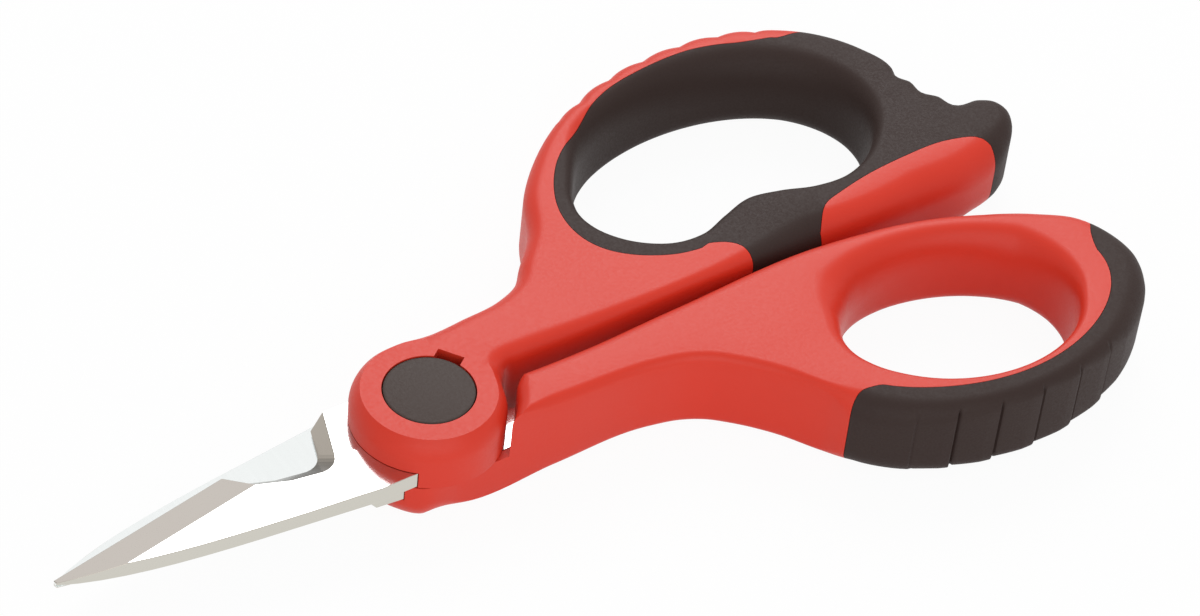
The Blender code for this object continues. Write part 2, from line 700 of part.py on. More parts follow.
def blade_outline(margin=0.0):
    """Plan of the upper blade before grinding, anticlockwise from the point along the spine."""
    root = Vector((-SPINE_ROOT, -SPINE_OFFSET))
    tip = Vector((-BLADE_REACH, -TIP_WIDTH / 2))
    bow = Vector((-SPINE_BOW_REACH, -SPINE_BOW))
    turn = Vector((-SPINE_TURN_REACH, -SPINE_TURN))
    points = []
    steps = 12
    for k in range(steps + 1):
        t = k / steps
        inner = 3 * t * (1 - t) ** 2 * turn + 3 * t**2 * (1 - t) * bow
        points.append((1 - t) ** 3 * tip + inner + t**3 * root)
    tang_high = HUB_RADIUS - TANG_INSET
    tang_low = tang_high - TANG_WIDTH
    start = math.pi + math.asin(SPINE_OFFSET / HUB_RADIUS)
    leave = 2 * math.pi + math.asin(tang_low / HUB_RADIUS)
    for k in range(steps + 1):
        angle = start + (leave - start) * k / steps
        points.append(HUB_RADIUS * Vector((math.cos(angle), math.sin(angle))))
    for degrees in (-90, -60, -30, 0, 30, 60, 90):
        angle = math.radians(degrees)
        corner = tang_low + TANG_END_RADIUS if degrees <= 0 else tang_high - TANG_END_RADIUS
        centre = Vector((TANG_LENGTH - TANG_END_RADIUS, corner))
        points.append(centre + TANG_END_RADIUS * Vector((math.cos(angle), math.sin(angle))))
    back = math.asin(tang_high / HUB_RADIUS)
    over = math.atan2(BLOCK_OFFSET, -math.sqrt(HUB_RADIUS**2 - BLOCK_OFFSET**2))
    for k in range(steps // 2 + 1):
        angle = back + (over - back) * k / (steps // 2)
        points.append(HUB_RADIUS * Vector((math.cos(angle), math.sin(angle))))
    points.append(Vector((-BLOCK_REACH, BLOCK_OFFSET)))
    points.append(Vector((-HEEL_REACH, HEEL_OFFSET)))
    points.append(Vector((-BLADE_REACH, TIP_WIDTH / 2)))
    return inset_loop(points, -margin)


def drop_to_plane(tool, low, height_at):
    """Moves the lower face of a plate to a sloping plane."""
    for vert in tool.data.vertices:
        if vert.co.z < low + 0.1 * MM:
            vert.co.z = height_at(vert.co.x, vert.co.y)


def notch_tool(low, high):
    """The cutting notch: a rounded bay that slants back towards the lower face."""
    wall_top = Vector((-BLOCK_REACH, BLOCK_OFFSET))
    corner = Vector((-BLOCK_REACH - NOTCH_LEAN, -NOTCH_FLOOR))
    rise = (BLADE_THICKNESS - GRIND_THICKNESS) / BLADE_THICKNESS
    bevel = Vector((-BEVEL_REACH + rise * NOTCH_SLANT_TIP, BEVEL_OFFSET - rise * NOTCH_SLANT_BACK))
    up = (wall_top - corner).normalized()
    along = Vector((-1, 0))
    reach = NOTCH_RADIUS / math.tan(up.angle(along) / 2)
    points = [wall_top + up * 2 * REACH_PAST]
    for k in range(7):
        t = k / 6
        start, end = corner + up * reach, corner + along * reach
        points.append((1 - t) ** 2 * start + 2 * t * (1 - t) * corner + t**2 * end)
    points.append(bevel.lerp(corner + along * reach, 0.5) - Vector((0, NOTCH_FLOOR / 4)))
    points.append(bevel)
    points.append(bevel + Vector((-1.6, 2.1)) * REACH_PAST)
    points.append(Vector((points[-1].x, points[0].y)))
    points.reverse()
    tool = plate("notch_tool", points, low, high)
    slant = Matrix.Identity(4)
    slant[0][2] = NOTCH_SLANT_TIP / BLADE_THICKNESS
    slant[1][2] = -NOTCH_SLANT_BACK / BLADE_THICKNESS
    top = Matrix.Translation((0, 0, UPPER_TOP))
    tool.data.transform(top @ slant @ top.inverted())
    return tool


def bevel_tool(high):
    """The main grind: everything above a plane through the cutting edge and the bevel's top corner."""
    heel = Vector((-HEEL_REACH, HEEL_OFFSET, UPPER_LOW + EDGE_LAND))
    tip = Vector((-BLADE_REACH, TIP_WIDTH / 2, UPPER_LOW + EDGE_LAND))
    top = Vector((-BEVEL_REACH, BEVEL_OFFSET, UPPER_LOW + GRIND_THICKNESS))
    normal = (tip - heel).cross(top - heel).normalized()
    run = (tip - heel).xy.normalized()
    side = (heel - top).xy.normalized()
    far_heel = heel.xy + side * REACH_PAST - run * REACH_PAST / 2
    near_heel = top.xy - side * REACH_PAST - run * REACH_PAST / 2
    length = (tip - heel).length + 2 * REACH_PAST
    points = [near_heel, far_heel, far_heel + run * length, near_heel + run * length]
    low = UPPER_LOW
    tool = plate("bevel_tool", points, low, high)

    def height_at(x, y):
        return heel.z - (normal.x * (x - heel.x) + normal.y * (y - heel.y)) / normal.z

    drop_to_plane(tool, low, height_at)
    return tool


def taper_tool(high):
    """Thins the blade from the hub to its ground part: a profile along the blade, drawn across it."""
    wide = SPINE_OFFSET + REACH_PAST
    far = -BLADE_REACH - REACH_PAST
    ground = UPPER_LOW + GRIND_THICKNESS
    start = Vector((-TAPER_START, UPPER_TOP))
    end = Vector((-TAPER_END, ground))
    profile = [2 * start - end, (-TAPER_START, high), (far, high), (far, ground), end]
    tool = plate("taper_tool", profile, -wide, wide)
    tool.data.transform(Matrix.Rotation(math.pi / 2, 4, "X"))
    return tool


def ground_blade(name):
    """A blade in the upper place: blank, pivot hole, taper, main bevel and notch."""
    blade = plate(name, blade_outline(), UPPER_LOW, UPPER_TOP, BRIGHT_STEEL)
    for tool in BLADE_TOOLS:
        boolean(blade, tool)
    return blade


def pivot_stack():
    """Bolt, washers, nut and cap, from the head below to the cap on top."""
    head_top = LOWER_LOW - STACK_GAP
    washer_low = UPPER_TOP + STACK_GAP
    washer_top = washer_low + WASHER_THICKNESS
    spring_low = washer_top + STACK_GAP
    spring_top = spring_low + SPRING_DISH + SPRING_THICKNESS
    nut_low = spring_top + STACK_GAP
    nut_top = nut_low + NUT_HEIGHT
    bore = SHANK_RADIUS + STACK_GAP
    chamfer = 0.4 * MM
    bolt = turned(
        "pivot_bolt",
        [
            (0, nut_top),
            (SHANK_RADIUS - chamfer, nut_top),
            (SHANK_RADIUS, nut_top - chamfer),
            (SHANK_RADIUS, head_top),
            (HEAD_RADIUS, head_top),
            (HEAD_RADIUS, chamfer),
            (HEAD_RADIUS - chamfer, 0),
            (0, 0),
        ],
        PLATED_STEEL,
        closed=False,
    )
    reach = SPANNER_HOLE_SPACING / 2
    spots = [Vector((-reach, 0)), Vector((reach, 0))]
    boolean(bolt, round_tools("spanner_holes", spots, SPANNER_HOLE_RADIUS, -REACH_PAST, SPANNER_HOLE_DEPTH))
    turned(
        "flat_washer",
        [(bore, washer_top), (WASHER_RADIUS, washer_top), (WASHER_RADIUS, washer_low), (bore, washer_low)],
        PLATED_STEEL,
        closed=True,
    )
    turned(
        "spring_washer",
        [
            (bore, spring_top),
            (SPRING_RADIUS, spring_low + SPRING_THICKNESS),
            (SPRING_RADIUS, spring_low),
            (bore, spring_low + SPRING_DISH),
        ],
        PLATED_STEEL,
        closed=True,
    )
    nut = cylinder("pivot_nut", NUT_WIDTH / math.sqrt(3), nut_low, nut_top, PLATED_STEEL, sides=6)
    boolean(nut, cylinder("nut_bore", bore, nut_low - REACH_PAST, nut_top + REACH_PAST))
    cap_low = BOSS_HEIGHT - CAP_THICKNESS
    skirt_low = cap_low - CAP_SKIRT_HEIGHT
    rim = 0.25 * MM
    turned(
        "pivot_cap",
        [
            (0, BOSS_HEIGHT),
            (CAP_RADIUS - rim, BOSS_HEIGHT),
            (CAP_RADIUS, BOSS_HEIGHT - rim),
            (CAP_RADIUS, skirt_low),
            (CAP_RADIUS - CAP_SKIRT_WALL, skirt_low),
            (CAP_RADIUS - CAP_SKIRT_WALL, cap_low),
            (0, cap_low),
        ],
        BLACK_RUBBER,
        closed=False,
    )


def pry_slot():
    """Slot beside the cap that takes a small screwdriver."""
    bm = bmesh.new()
    inner = CAP_RADIUS - PRY_SLOT_REACH
    outer = CAP_RADIUS + PRY_SLOT_REACH
    size = Matrix.Diagonal((outer - inner, PRY_SLOT_LENGTH, 2 * PRY_SLOT_DEPTH, 1))
    place = Matrix.Translation(((inner + outer) / 2, 0, BOSS_HEIGHT))
    bmesh.ops.create_cube(bm, size=1, matrix=Matrix.Rotation(PRY_SLOT_ANGLE, 4, "Z") @ place @ size)
    return mesh_object("pry_slot", bm)


def grip_groove_tools():
    """Sawtooth grooves across the outside of the small grip, one prism each."""
    bm = bmesh.new()
    for k in range(GROOVE_COUNT):
        angle = GROOVE_FIRST + GROOVE_STEP * k
        spot = small_loop_point(angle)
        ahead = (small_loop_point(angle + 0.01) - spot).normalized()
        out = Vector((ahead.y, -ahead.x))
        corners = [
            spot - out * GROOVE_DEPTH,
            spot - ahead * GROOVE_FACE + out * GROOVE_DEPTH,
            spot + ahead * GROOVE_RAMP + out * GROOVE_DEPTH,
        ]
        rings = []
        for height in (-REACH_PAST, BOSS_HEIGHT + REACH_PAST):
            rings.append([bm.verts.new((p.x, p.y, height)) for p in corners])
        bm.faces.new(rings[0])
        bm.faces.new(rings[1])
        for i in range(3):
            bm.faces.new((rings[0][i - 1], rings[0][i], rings[1][i], rings[1][i - 1]))
    return mesh_object("grip_groove_tools", bm)


def round_tools(name, spots, radius, low, high):
    bm = bmesh.new()
    for spot in spots:
        bmesh.ops.create_cone(
            bm,
            cap_ends=True,
            segments=12,
            radius1=radius,
            radius2=radius,
            depth=high - low,
            matrix=Matrix.Translation((spot.x, spot.y, (low + high) / 2)),
        )
    return mesh_object(name, bm)


def loop_scallop_spots():
    spots = []
    for k in range(SCALLOP_COUNT):
        angle = math.degrees(SCALLOP_FIRST + SCALLOP_STEP * k)
        spot = large_loop_point(angle)
        ahead = (large_loop_point(angle + 1) - spot).normalized()
        out = Vector((ahead.y, -ahead.x))
        spots.append(spot + out * (SCALLOP_RADIUS - SCALLOP_DEPTH))
    return spots


BLADE_TOOLS = [
    cylinder("pivot_hole", SHANK_RADIUS + SHANK_CLEARANCE, -REACH_PAST, BOSS_HEIGHT + REACH_PAST),
    taper_tool(UPPER_TOP + REACH_PAST),
    bevel_tool(UPPER_TOP + REACH_PAST),
    notch_tool(UPPER_LOW - REACH_PAST, UPPER_TOP + REACH_PAST),
]

# Upper half: blade, large handle and grip
upper_blade = ground_blade("upper_blade")
large_handle, large_grip = split_handle(
    "large_loop_handle",
    "large_loop_grip",
    large_outline(),
    large_hole(),
    large_grip_region(),
    large_rib_outline(),
)
swing_radius = BOSS_RADIUS + BOSS_CLEARANCE
boolean(large_handle, cylinder("lower_boss_room", swing_radius, -REACH_PAST, UPPER_LOW))
boolean(
    large_handle,
    plate("upper_tang_pocket", blade_outline(FIT_GAP), UPPER_LOW - FIT_GAP, UPPER_TOP + FIT_GAP),
)
boolean(large_handle, cylinder("cap_chamber", CAP_RADIUS + FIT_GAP / 2, UPPER_TOP, BOSS_HEIGHT + REACH_PAST))
boolean(large_handle, pry_slot())
scallops = round_tools(
    "loop_scallops", loop_scallop_spots(), SCALLOP_RADIUS, -REACH_PAST, BOSS_HEIGHT + REACH_PAST
)
boolean(large_handle, scallops)

# Lower half: the same blade turned over, small handle and grip, on the pivot axis
turn_over = Matrix.Translation((0, 0, 2 * MATING_HEIGHT)) @ Matrix.Rotation(math.pi, 4, "X")
lower_blade = ground_blade("lower_blade")
lower_blade.matrix_world = turn_over
for step in lower_blade.modifiers:
    twin = bpy.data.objects.new(step.object.name + "_lower", step.object.data)
    twin.matrix_world = turn_over
    twin.hide_render = True
    twin.display_type = "WIRE"
    CUTTERS.objects.link(twin)
    step.object = twin
small_handle, small_grip = split_handle(
    "small_loop_handle",
    "small_loop_grip",
    small_outline(),
    small_hole(),
    small_grip_region(),
    small_rib_outline(),
)
boolean(small_handle, plate("upper_boss_room", boss_room_outline(), LOWER_TOP, BOSS_HEIGHT + REACH_PAST))
lower_pocket = plate("lower_tang_pocket", blade_outline(FIT_GAP), UPPER_LOW - FIT_GAP, UPPER_TOP + FIT_GAP)
lower_pocket.matrix_world = turn_over
boolean(small_handle, lower_pocket)
boolean(small_handle, cylinder("head_room", HEAD_RADIUS + FIT_GAP, -REACH_PAST, LOWER_LOW))
boolean(small_grip, grip_groove_tools())

pivot_stack()

pivot_axis = bpy.data.objects.new("pivot_axis", None)
PARTS.objects.link(pivot_axis)
for piece in (lower_blade, small_handle, small_grip):
    piece.parent = pivot_axis
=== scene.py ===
import math

import bmesh
import bpy
import numpy as np
from mathutils import Matrix, Vector
from mathutils.geometry import delaunay_2d_cdt


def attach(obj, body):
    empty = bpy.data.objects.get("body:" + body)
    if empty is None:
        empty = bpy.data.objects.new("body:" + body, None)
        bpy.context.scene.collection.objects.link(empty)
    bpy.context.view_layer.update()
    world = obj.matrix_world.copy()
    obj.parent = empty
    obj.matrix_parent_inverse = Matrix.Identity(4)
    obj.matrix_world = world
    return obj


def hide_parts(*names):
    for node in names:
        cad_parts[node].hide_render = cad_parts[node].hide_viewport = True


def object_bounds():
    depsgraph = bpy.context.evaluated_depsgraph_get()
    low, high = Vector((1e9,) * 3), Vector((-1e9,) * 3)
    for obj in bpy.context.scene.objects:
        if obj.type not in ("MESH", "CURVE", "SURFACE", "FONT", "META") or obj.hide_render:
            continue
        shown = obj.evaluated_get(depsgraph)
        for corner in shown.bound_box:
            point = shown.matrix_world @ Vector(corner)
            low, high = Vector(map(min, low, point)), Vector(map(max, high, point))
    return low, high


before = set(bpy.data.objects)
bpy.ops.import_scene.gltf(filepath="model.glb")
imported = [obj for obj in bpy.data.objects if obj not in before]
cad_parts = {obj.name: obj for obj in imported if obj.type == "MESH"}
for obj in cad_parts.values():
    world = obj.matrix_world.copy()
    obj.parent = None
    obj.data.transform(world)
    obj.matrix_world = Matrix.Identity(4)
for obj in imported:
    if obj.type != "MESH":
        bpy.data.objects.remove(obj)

cad_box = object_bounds()
scene = bpy.context.scene
scene.view_settings.view_transform = "Standard"

# The camera stands in front of the pivot and well above it, with a long lens, and is rolled a
# little, so that the points of the blades come out low on the left and the loops high on the right.
VIEW_TURN = math.radians(-38.3866)
VIEW_RISE = math.radians(44.0642)
VIEW_ROLL = math.radians(6.6358)
VIEW_CENTRE = Vector((0.02844, 0.00188, 0.0140))
VIEW_DISTANCE = 0.594332
VIEW_LENS = 132.0
VIEW_SENSOR = 36.0
VIEW_CLIP = (0.01, 50.0)

back = Vector((
    math.sin(VIEW_TURN) * math.cos(VIEW_RISE),
    -math.cos(VIEW_TURN) * math.cos(VIEW_RISE),
    math.sin(VIEW_RISE),
))
level = Vector((math.cos(VIEW_TURN), math.sin(VIEW_TURN), 0))
upright = back.cross(level)
right = level * math.cos(VIEW_ROLL) + upright * math.sin(VIEW_ROLL)
up = upright * math.cos(VIEW_ROLL) - level * math.sin(VIEW_ROLL)
lens = bpy.data.cameras.new("camera")
lens.sensor_fit = "HORIZONTAL"
lens.sensor_width = VIEW_SENSOR
lens.lens = VIEW_LENS
lens.clip_start, lens.clip_end = VIEW_CLIP
camera = bpy.data.objects.new("camera", lens)
camera.matrix_world = (
    Matrix.Translation(VIEW_CENTRE + back * VIEW_DISTANCE)
    @ Matrix((right, up, back)).transposed().to_4x4()
)
scene.collection.objects.link(camera)
scene.camera = camera


# The snips lie on a pale table top under a soft sky, with a broad soft lamp above and behind them
# and a wider one low in front. To the camera and in the steel the surroundings are white, and the
# table still takes the shadow.
SKY_LEVEL = 0.52
KEY_PLACE = Vector((0.41, 0.52, 0.64))
KEY_SIZE = 0.6
KEY_POWER = 4.0
FILL_PLACE = Vector((-0.3, -0.78, 0.35))
FILL_SIZE = 1.2
FILL_POWER = 4.4
LAMP_AIM = Vector((0.03, 0.0, 0.0))
FLOOR_HALF = 4.0
FLOOR_DROP = 0.0001
FLOOR_PAINT = (0.9, 0.9, 0.9, 1)
FLOOR_WHITENESS = 0.95


def wire(tree, value, socket):
    """Sets a socket to a number, or links another socket to it."""
    if isinstance(value, (int, float)):
        socket.default_value = value
    else:
        tree.links.new(value, socket)


def math_step(tree, operation, *values):
    """The result of a math node on numbers or sockets."""
    node = tree.nodes.new("ShaderNodeMath")
    node.operation = operation
    for value, socket in zip(values, node.inputs):
        wire(tree, value, socket)
    return node.outputs[0]


def seen_directly(tree):
    """A factor of 1 for what the camera, a reflection or a clear body sees, otherwise 0."""
    rays = tree.nodes.new("ShaderNodeLightPath").outputs
    first = math_step(tree, "MAXIMUM", rays["Is Camera Ray"], rays["Is Glossy Ray"])
    return math_step(tree, "MAXIMUM", first, rays["Is Transmission Ray"])


world = bpy.data.worlds.new("studio_sky")
world.use_nodes = True
sky = world.node_tree
sky.nodes.clear()
sky_light = sky.nodes.new("ShaderNodeBackground")
sky_light.inputs["Strength"].default_value = SKY_LEVEL
sky_white = sky.nodes.new("ShaderNodeBackground")
for shade in (sky_light, sky_white):
    shade.inputs["Color"].default_value = (1, 1, 1, 1)
sky_mix = sky.nodes.new("ShaderNodeMixShader")
sky_out = sky.nodes.new("ShaderNodeOutputWorld")
sky.links.new(seen_directly(sky), sky_mix.inputs[0])
sky.links.new(sky_light.outputs[0], sky_mix.inputs[1])
sky.links.new(sky_white.outputs[0], sky_mix.inputs[2])
sky.links.new(sky_mix.outputs[0], sky_out.inputs["Surface"])
scene.world = world

for name, place, size, power in (
    ("key_lamp", KEY_PLACE, KEY_SIZE, KEY_POWER),
    ("fill_lamp", FILL_PLACE, FILL_SIZE, FILL_POWER),
):
    light = bpy.data.lights.new(name, "AREA")
    light.shape = "DISK"
    light.size = size
    light.energy = power
    lamp = bpy.data.objects.new(name, light)
    aim = (LAMP_AIM - place).to_track_quat("-Z", "Y")
    lamp.matrix_world = Matrix.Translation(place) @ aim.to_matrix().to_4x4()
    scene.collection.objects.link(lamp)

bm = bmesh.new()
bmesh.ops.create_grid(bm, x_segments=8, y_segments=8, size=FLOOR_HALF)
bmesh.ops.translate(bm, verts=bm.verts, vec=(0, 0, cad_box[0].z - FLOOR_DROP))
floor_mesh = bpy.data.meshes.new("table_top")
bm.to_mesh(floor_mesh)
bm.free()
floor = bpy.data.objects.new("table_top", floor_mesh)
scene.collection.objects.link(floor)
floor_paint = bpy.data.materials.new("table_white")
floor_paint.use_nodes = True
tree = floor_paint.node_tree
tree.nodes.clear()
matt = tree.nodes.new("ShaderNodeBsdfDiffuse")
matt.inputs["Color"].default_value = FLOOR_PAINT
glow = tree.nodes.new("ShaderNodeEmission")
floor_mix = tree.nodes.new("ShaderNodeMixShader")
floor_out = tree.nodes.new("ShaderNodeOutputMaterial")
whiteness = math_step(tree, "MULTIPLY", seen_directly(tree), FLOOR_WHITENESS)
tree.links.new(whiteness, floor_mix.inputs[0])
tree.links.new(matt.outputs[0], floor_mix.inputs[1])
tree.links.new(glow.outputs[0], floor_mix.inputs[2])
tree.links.new(floor_mix.outputs[0], floor_out.inputs["Surface"])
floor_mesh.materials.append(floor_paint)


# Two blades, blanked from stainless steel plate and ground: a slightly hollow inner face, a tapered
# back, the main bevel and a rounded cutting notch near the hub. Each is moulded into its handle by
# a tang.
# Each face group of the steel gets its own shade by which way it faces: partly its grind, partly
# painted reflection and shade that stand in for what the group mirrors.
STEEL_BACK = (0.68, 0.685, 0.685, 1)
STEEL_INNER = (0.86, 0.885, 0.88, 0)
STEEL_BEVEL = (0.57, 0.525, 0.48, 1)
STEEL_NOTCH = (0.41, 0.37, 0.32, 1)
# Painted shade: the notch is darkened towards its floor, where it leans up.
STEEL_NOTCH_FLOOR_SHADE = (0.17, 0.153, 0.132, 1)
STEEL_SPINE = (0.63, 0.61, 0.55, 1)
STEEL_CLOUDS = (0.96, 0.96, 0.955, 1)
CLOUD_SCALE = 60.0
STEEL_ROUGHNESS = 0.13
ROUGHNESS_SPREAD = 0.02
GRIND_PITCH = 5200.0
GRIND_GRAIN = (GRIND_PITCH, GRIND_PITCH / 40, GRIND_PITCH / 6)
GRIND_RELIEF = 0.0000005
HOLLOW_GRIND = -0.25
HOLLOW_END = -0.0115
BEVEL_LEAN = 0.985
NOTCH_LEAN = 0.85
SPINE_LEAN = 0.3
INNER_LEAN = -0.9
NOTCH_WALL_LEAN = 0.56
NOTCH_FLOOR_LEAN = 0.76
MERGE = 0.000002
FLAT_ANGLE = math.radians(0.4)
BLADE_EASE = 0.00006
BLADE_SHARP = 18
BLOCK_CORNER = Vector((-0.009, -0.0068))
BLOCK_BACK = 0.0008


def finish(name, colour, roughness, metallic=0.0):
    """A new material, its Principled shader and its Object coordinates."""
    made = bpy.data.materials.new(name)
    made.use_nodes = True
    shader = made.node_tree.nodes["Principled BSDF"]
    shader.inputs["Base Color"].default_value = colour
    shader.inputs["Roughness"].default_value = roughness
    shader.inputs["Metallic"].default_value = metallic
    place = made.node_tree.nodes.new("ShaderNodeTexCoord").outputs["Object"]
    return made, shader, place


def mottle(material, place, scale, detail=3.0, stretch=(1, 1, 1)):
    """A noise over the piece, stretched where a finish has a grain."""
    tree = material.node_tree
    grain = tree.nodes.new("ShaderNodeMapping")
    grain.inputs["Scale"].default_value = stretch
    tree.links.new(place, grain.inputs["Vector"])
    noise = tree.nodes.new("ShaderNodeTexNoise")
    noise.inputs["Scale"].default_value = scale
    noise.inputs["Detail"].default_value = detail
    tree.links.new(grain.outputs[0], noise.inputs["Vector"])
    return noise.outputs["Fac"]


def map_range(tree, *values):
    """A value carried from one range to another, each end a number or a socket."""
    node = tree.nodes.new("ShaderNodeMapRange")
    for value, name in zip(values, ("Value", "From Min", "From Max", "To Min", "To Max")):
        wire(tree, value, node.inputs[name])
    return node.outputs[0]


def ranged(material, noise, low, high, target):
    """The middle of a noise's range, spread from low to high, onto a socket."""
    tree = material.node_tree
    tree.links.new(map_range(tree, noise, 0.3, 0.7, low, high), target)


def tinted(material, value, dark, light, target):
    """A colour between two close shades, by a value, onto a socket."""
    tree = material.node_tree
    blend = tree.nodes.new("ShaderNodeMix")
    blend.data_type = "RGBA"
    blend.inputs["A"].default_value = dark
    blend.inputs["B"].default_value = light
    tree.links.new(value, blend.inputs["Factor"])
    tree.links.new(blend.outputs["Result"], target)


def raised(material, value, height, shader):
    """A fine relief on a shader's normal, height in metres; gives back its bump node."""
    tree = material.node_tree
    bump = tree.nodes.new("ShaderNodeBump")
    bump.inputs["Strength"].default_value = 1.0
    bump.inputs["Distance"].default_value = height
    tree.links.new(value, bump.inputs["Height"])
    tree.links.new(bump.outputs[0], shader.inputs["Normal"])
    return bump


ground_steel, shader, place = finish("ground_steel", STEEL_BACK, STEEL_ROUGHNESS, 1.0)
tree = ground_steel.node_tree
lines = mottle(ground_steel, place, 1.0, 2.0, GRIND_GRAIN)
ranged(
    ground_steel,
    lines,
    STEEL_ROUGHNESS - ROUGHNESS_SPREAD,
    STEEL_ROUGHNESS + ROUGHNESS_SPREAD,
    shader.inputs["Roughness"],
)
clouds = mottle(ground_steel, place, CLOUD_SCALE)
# The per-face shades hold painted reflection and shade as well as the grinds.
tone = tree.nodes.new("ShaderNodeAttribute")
tone.attribute_name = "face_tone"
veil = tree.nodes.new("ShaderNodeMix")
veil.data_type = "RGBA"
veil.blend_type = "MULTIPLY"
veil.inputs["Factor"].default_value = 1.0
tree.links.new(tone.outputs["Color"], veil.inputs["A"])
tinted(ground_steel, clouds, STEEL_CLOUDS, (1, 1, 1, 1), veil.inputs["B"])
tree.links.new(veil.outputs["Result"], shader.inputs["Base Color"])
sides = tree.nodes.new("ShaderNodeSeparateXYZ")
tree.links.new(place, sides.inputs[0])
hollow = math_step(tree, "ABSOLUTE", sides.outputs["Y"])
hollow = math_step(tree, "MULTIPLY", hollow, HOLLOW_GRIND)
past_hub = math_step(tree, "LESS_THAN", sides.outputs["X"], HOLLOW_END)
inner = math_step(tree, "LESS_THAN", tone.outputs["Alpha"], 0.5)
for share in (past_hub, inner):
    hollow = math_step(tree, "MULTIPLY", hollow, share)
dish = tree.nodes.new("ShaderNodeBump")
dish.inputs["Distance"].default_value = 1.0
tree.links.new(hollow, dish.inputs["Height"])
relief = raised(ground_steel, lines, GRIND_RELIEF, shader)
tree.links.new(dish.outputs[0], relief.inputs["Normal"])


def settle(piece):
    """Turns a piece with its modifiers into a plain mesh."""
    graph = bpy.context.evaluated_depsgraph_get()
    mesh = bpy.data.meshes.new_from_object(piece.evaluated_get(graph))
    piece.modifiers.clear()
    old = piece.data
    piece.data = mesh
    bpy.data.meshes.remove(old)
    mesh.name = piece.name
    return piece


def dress(piece, material, body, slot, *stands_for, sharp=32):
    """Smooth shading with crisp corners, the finish, and the piece's place in the frame."""
    piece.data.materials.clear()
    piece.data.materials.append(material)
    piece.data.shade_smooth()
    piece.data.set_sharp_from_angle(angle=math.radians(sharp))
    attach(piece, body)
    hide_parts(*stands_for)


def eased_copy(node, name, ease, limit=25):
    """A merged copy of a CAD node with its corners eased."""
    bm = bmesh.new()
    bm.from_mesh(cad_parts[node].data)
    bmesh.ops.remove_doubles(bm, verts=bm.verts, dist=MERGE)
    bmesh.ops.dissolve_limit(bm, angle_limit=FLAT_ANGLE, verts=bm.verts, edges=bm.edges)
    mesh = bpy.data.meshes.new(name)
    bm.to_mesh(mesh)
    bm.free()
    piece = bpy.data.objects.new(name, mesh)
    scene.collection.objects.link(piece)
    bevel = piece.modifiers.new("eased_corners", "BEVEL")
    bevel.width = ease
    bevel.segments = 2
    bevel.limit_method = "ANGLE"
    bevel.angle_limit = math.radians(limit)
    return settle(piece)


def set_back_block(piece):
    """Moves the corner of the lower blade's block back, clear of the boss."""
    for vert in piece.data.vertices:
        if vert.co.x < BLOCK_CORNER.x and vert.co.y < BLOCK_CORNER.y:
            vert.co.y += BLOCK_BACK


def shade_faces_with_painted_light(piece, side):
    """Shades each face by which way it faces, its grind with painted reflection and shade; side is
    1 for the upper blade, else -1.
    """
    tones = piece.data.color_attributes.new("face_tone", "FLOAT_COLOR", "CORNER")
    for face in piece.data.polygons:
        lean = side * face.normal.z
        # The notch is painted darker towards its floor, by how far the face leans up.
        turn = (lean - NOTCH_WALL_LEAN) / (NOTCH_FLOOR_LEAN - NOTCH_WALL_LEAN)
        notch = Vector(STEEL_NOTCH).lerp(Vector(STEEL_NOTCH_FLOOR_SHADE), min(1, max(0, turn)))
        shade = STEEL_BACK
        for limit, other in (
            (BEVEL_LEAN, STEEL_BEVEL),
            (NOTCH_LEAN, notch),
            (SPINE_LEAN, STEEL_SPINE),
            (INNER_LEAN, STEEL_INNER),
        ):
            if lean < limit:
                shade = other
        for corner in face.loop_indices:
            tones.data[corner].color = shade


upper_blade = eased_copy("upper_blade", "blade_upper", BLADE_EASE)
shade_faces_with_painted_light(upper_blade, 1)
dress(upper_blade, ground_steel, "large_half", "blade_steel", "upper_blade", sharp=BLADE_SHARP)
lower_blade = eased_copy("lower_blade", "blade_lower", BLADE_EASE)
set_back_block(lower_blade)
shade_faces_with_painted_light(lower_blade, -1)
dress(lower_blade, ground_steel, "small_half", "blade_steel", "lower_blade", sharp=BLADE_SHARP)


# The pivot: a shoulder bolt, its flush head below turned by two pin holes, and on the upper blade a
# flat washer, a dished spring washer and a nut that holds the blades together. All of it is zinc
# plated steel.
PLATE_TINT = (0.55, 0.55, 0.53, 1)
PLATE_DULL = (0.5, 0.5, 0.49, 1)
PLATE_BRIGHT = (0.6, 0.6, 0.575, 1)
PLATE_ROUGHNESS = 0.35
PLATE_SPREAD = 0.07
SPANGLE_SCALE = 900.0
BOLT_EASE = 0.0001

zinc_plate, shader, place = finish("zinc_plate", PLATE_TINT, PLATE_ROUGHNESS, 1.0)
spangle = mottle(zinc_plate, place, SPANGLE_SCALE)
ranged(
    zinc_plate,
    spangle,
    PLATE_ROUGHNESS - PLATE_SPREAD,
    PLATE_ROUGHNESS + PLATE_SPREAD,
    shader.inputs["Roughness"],
)
tinted(zinc_plate, spangle, PLATE_DULL, PLATE_BRIGHT, shader.inputs["Base Color"])

pivot_bolt = eased_copy("pivot_bolt", "shoulder_bolt", BOLT_EASE)
dress(pivot_bolt, zinc_plate, "large_half", "plated_hardware", "pivot_bolt")
pivot_nut = eased_copy("pivot_nut", "hex_nut", BOLT_EASE)
dress(pivot_nut, zinc_plate, "large_half", "plated_hardware", "pivot_nut")
for node in ("flat_washer", "spring_washer"):
    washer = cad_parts[node]
    washer.data.materials.clear()
    washer.data.materials.append(zinc_plate)


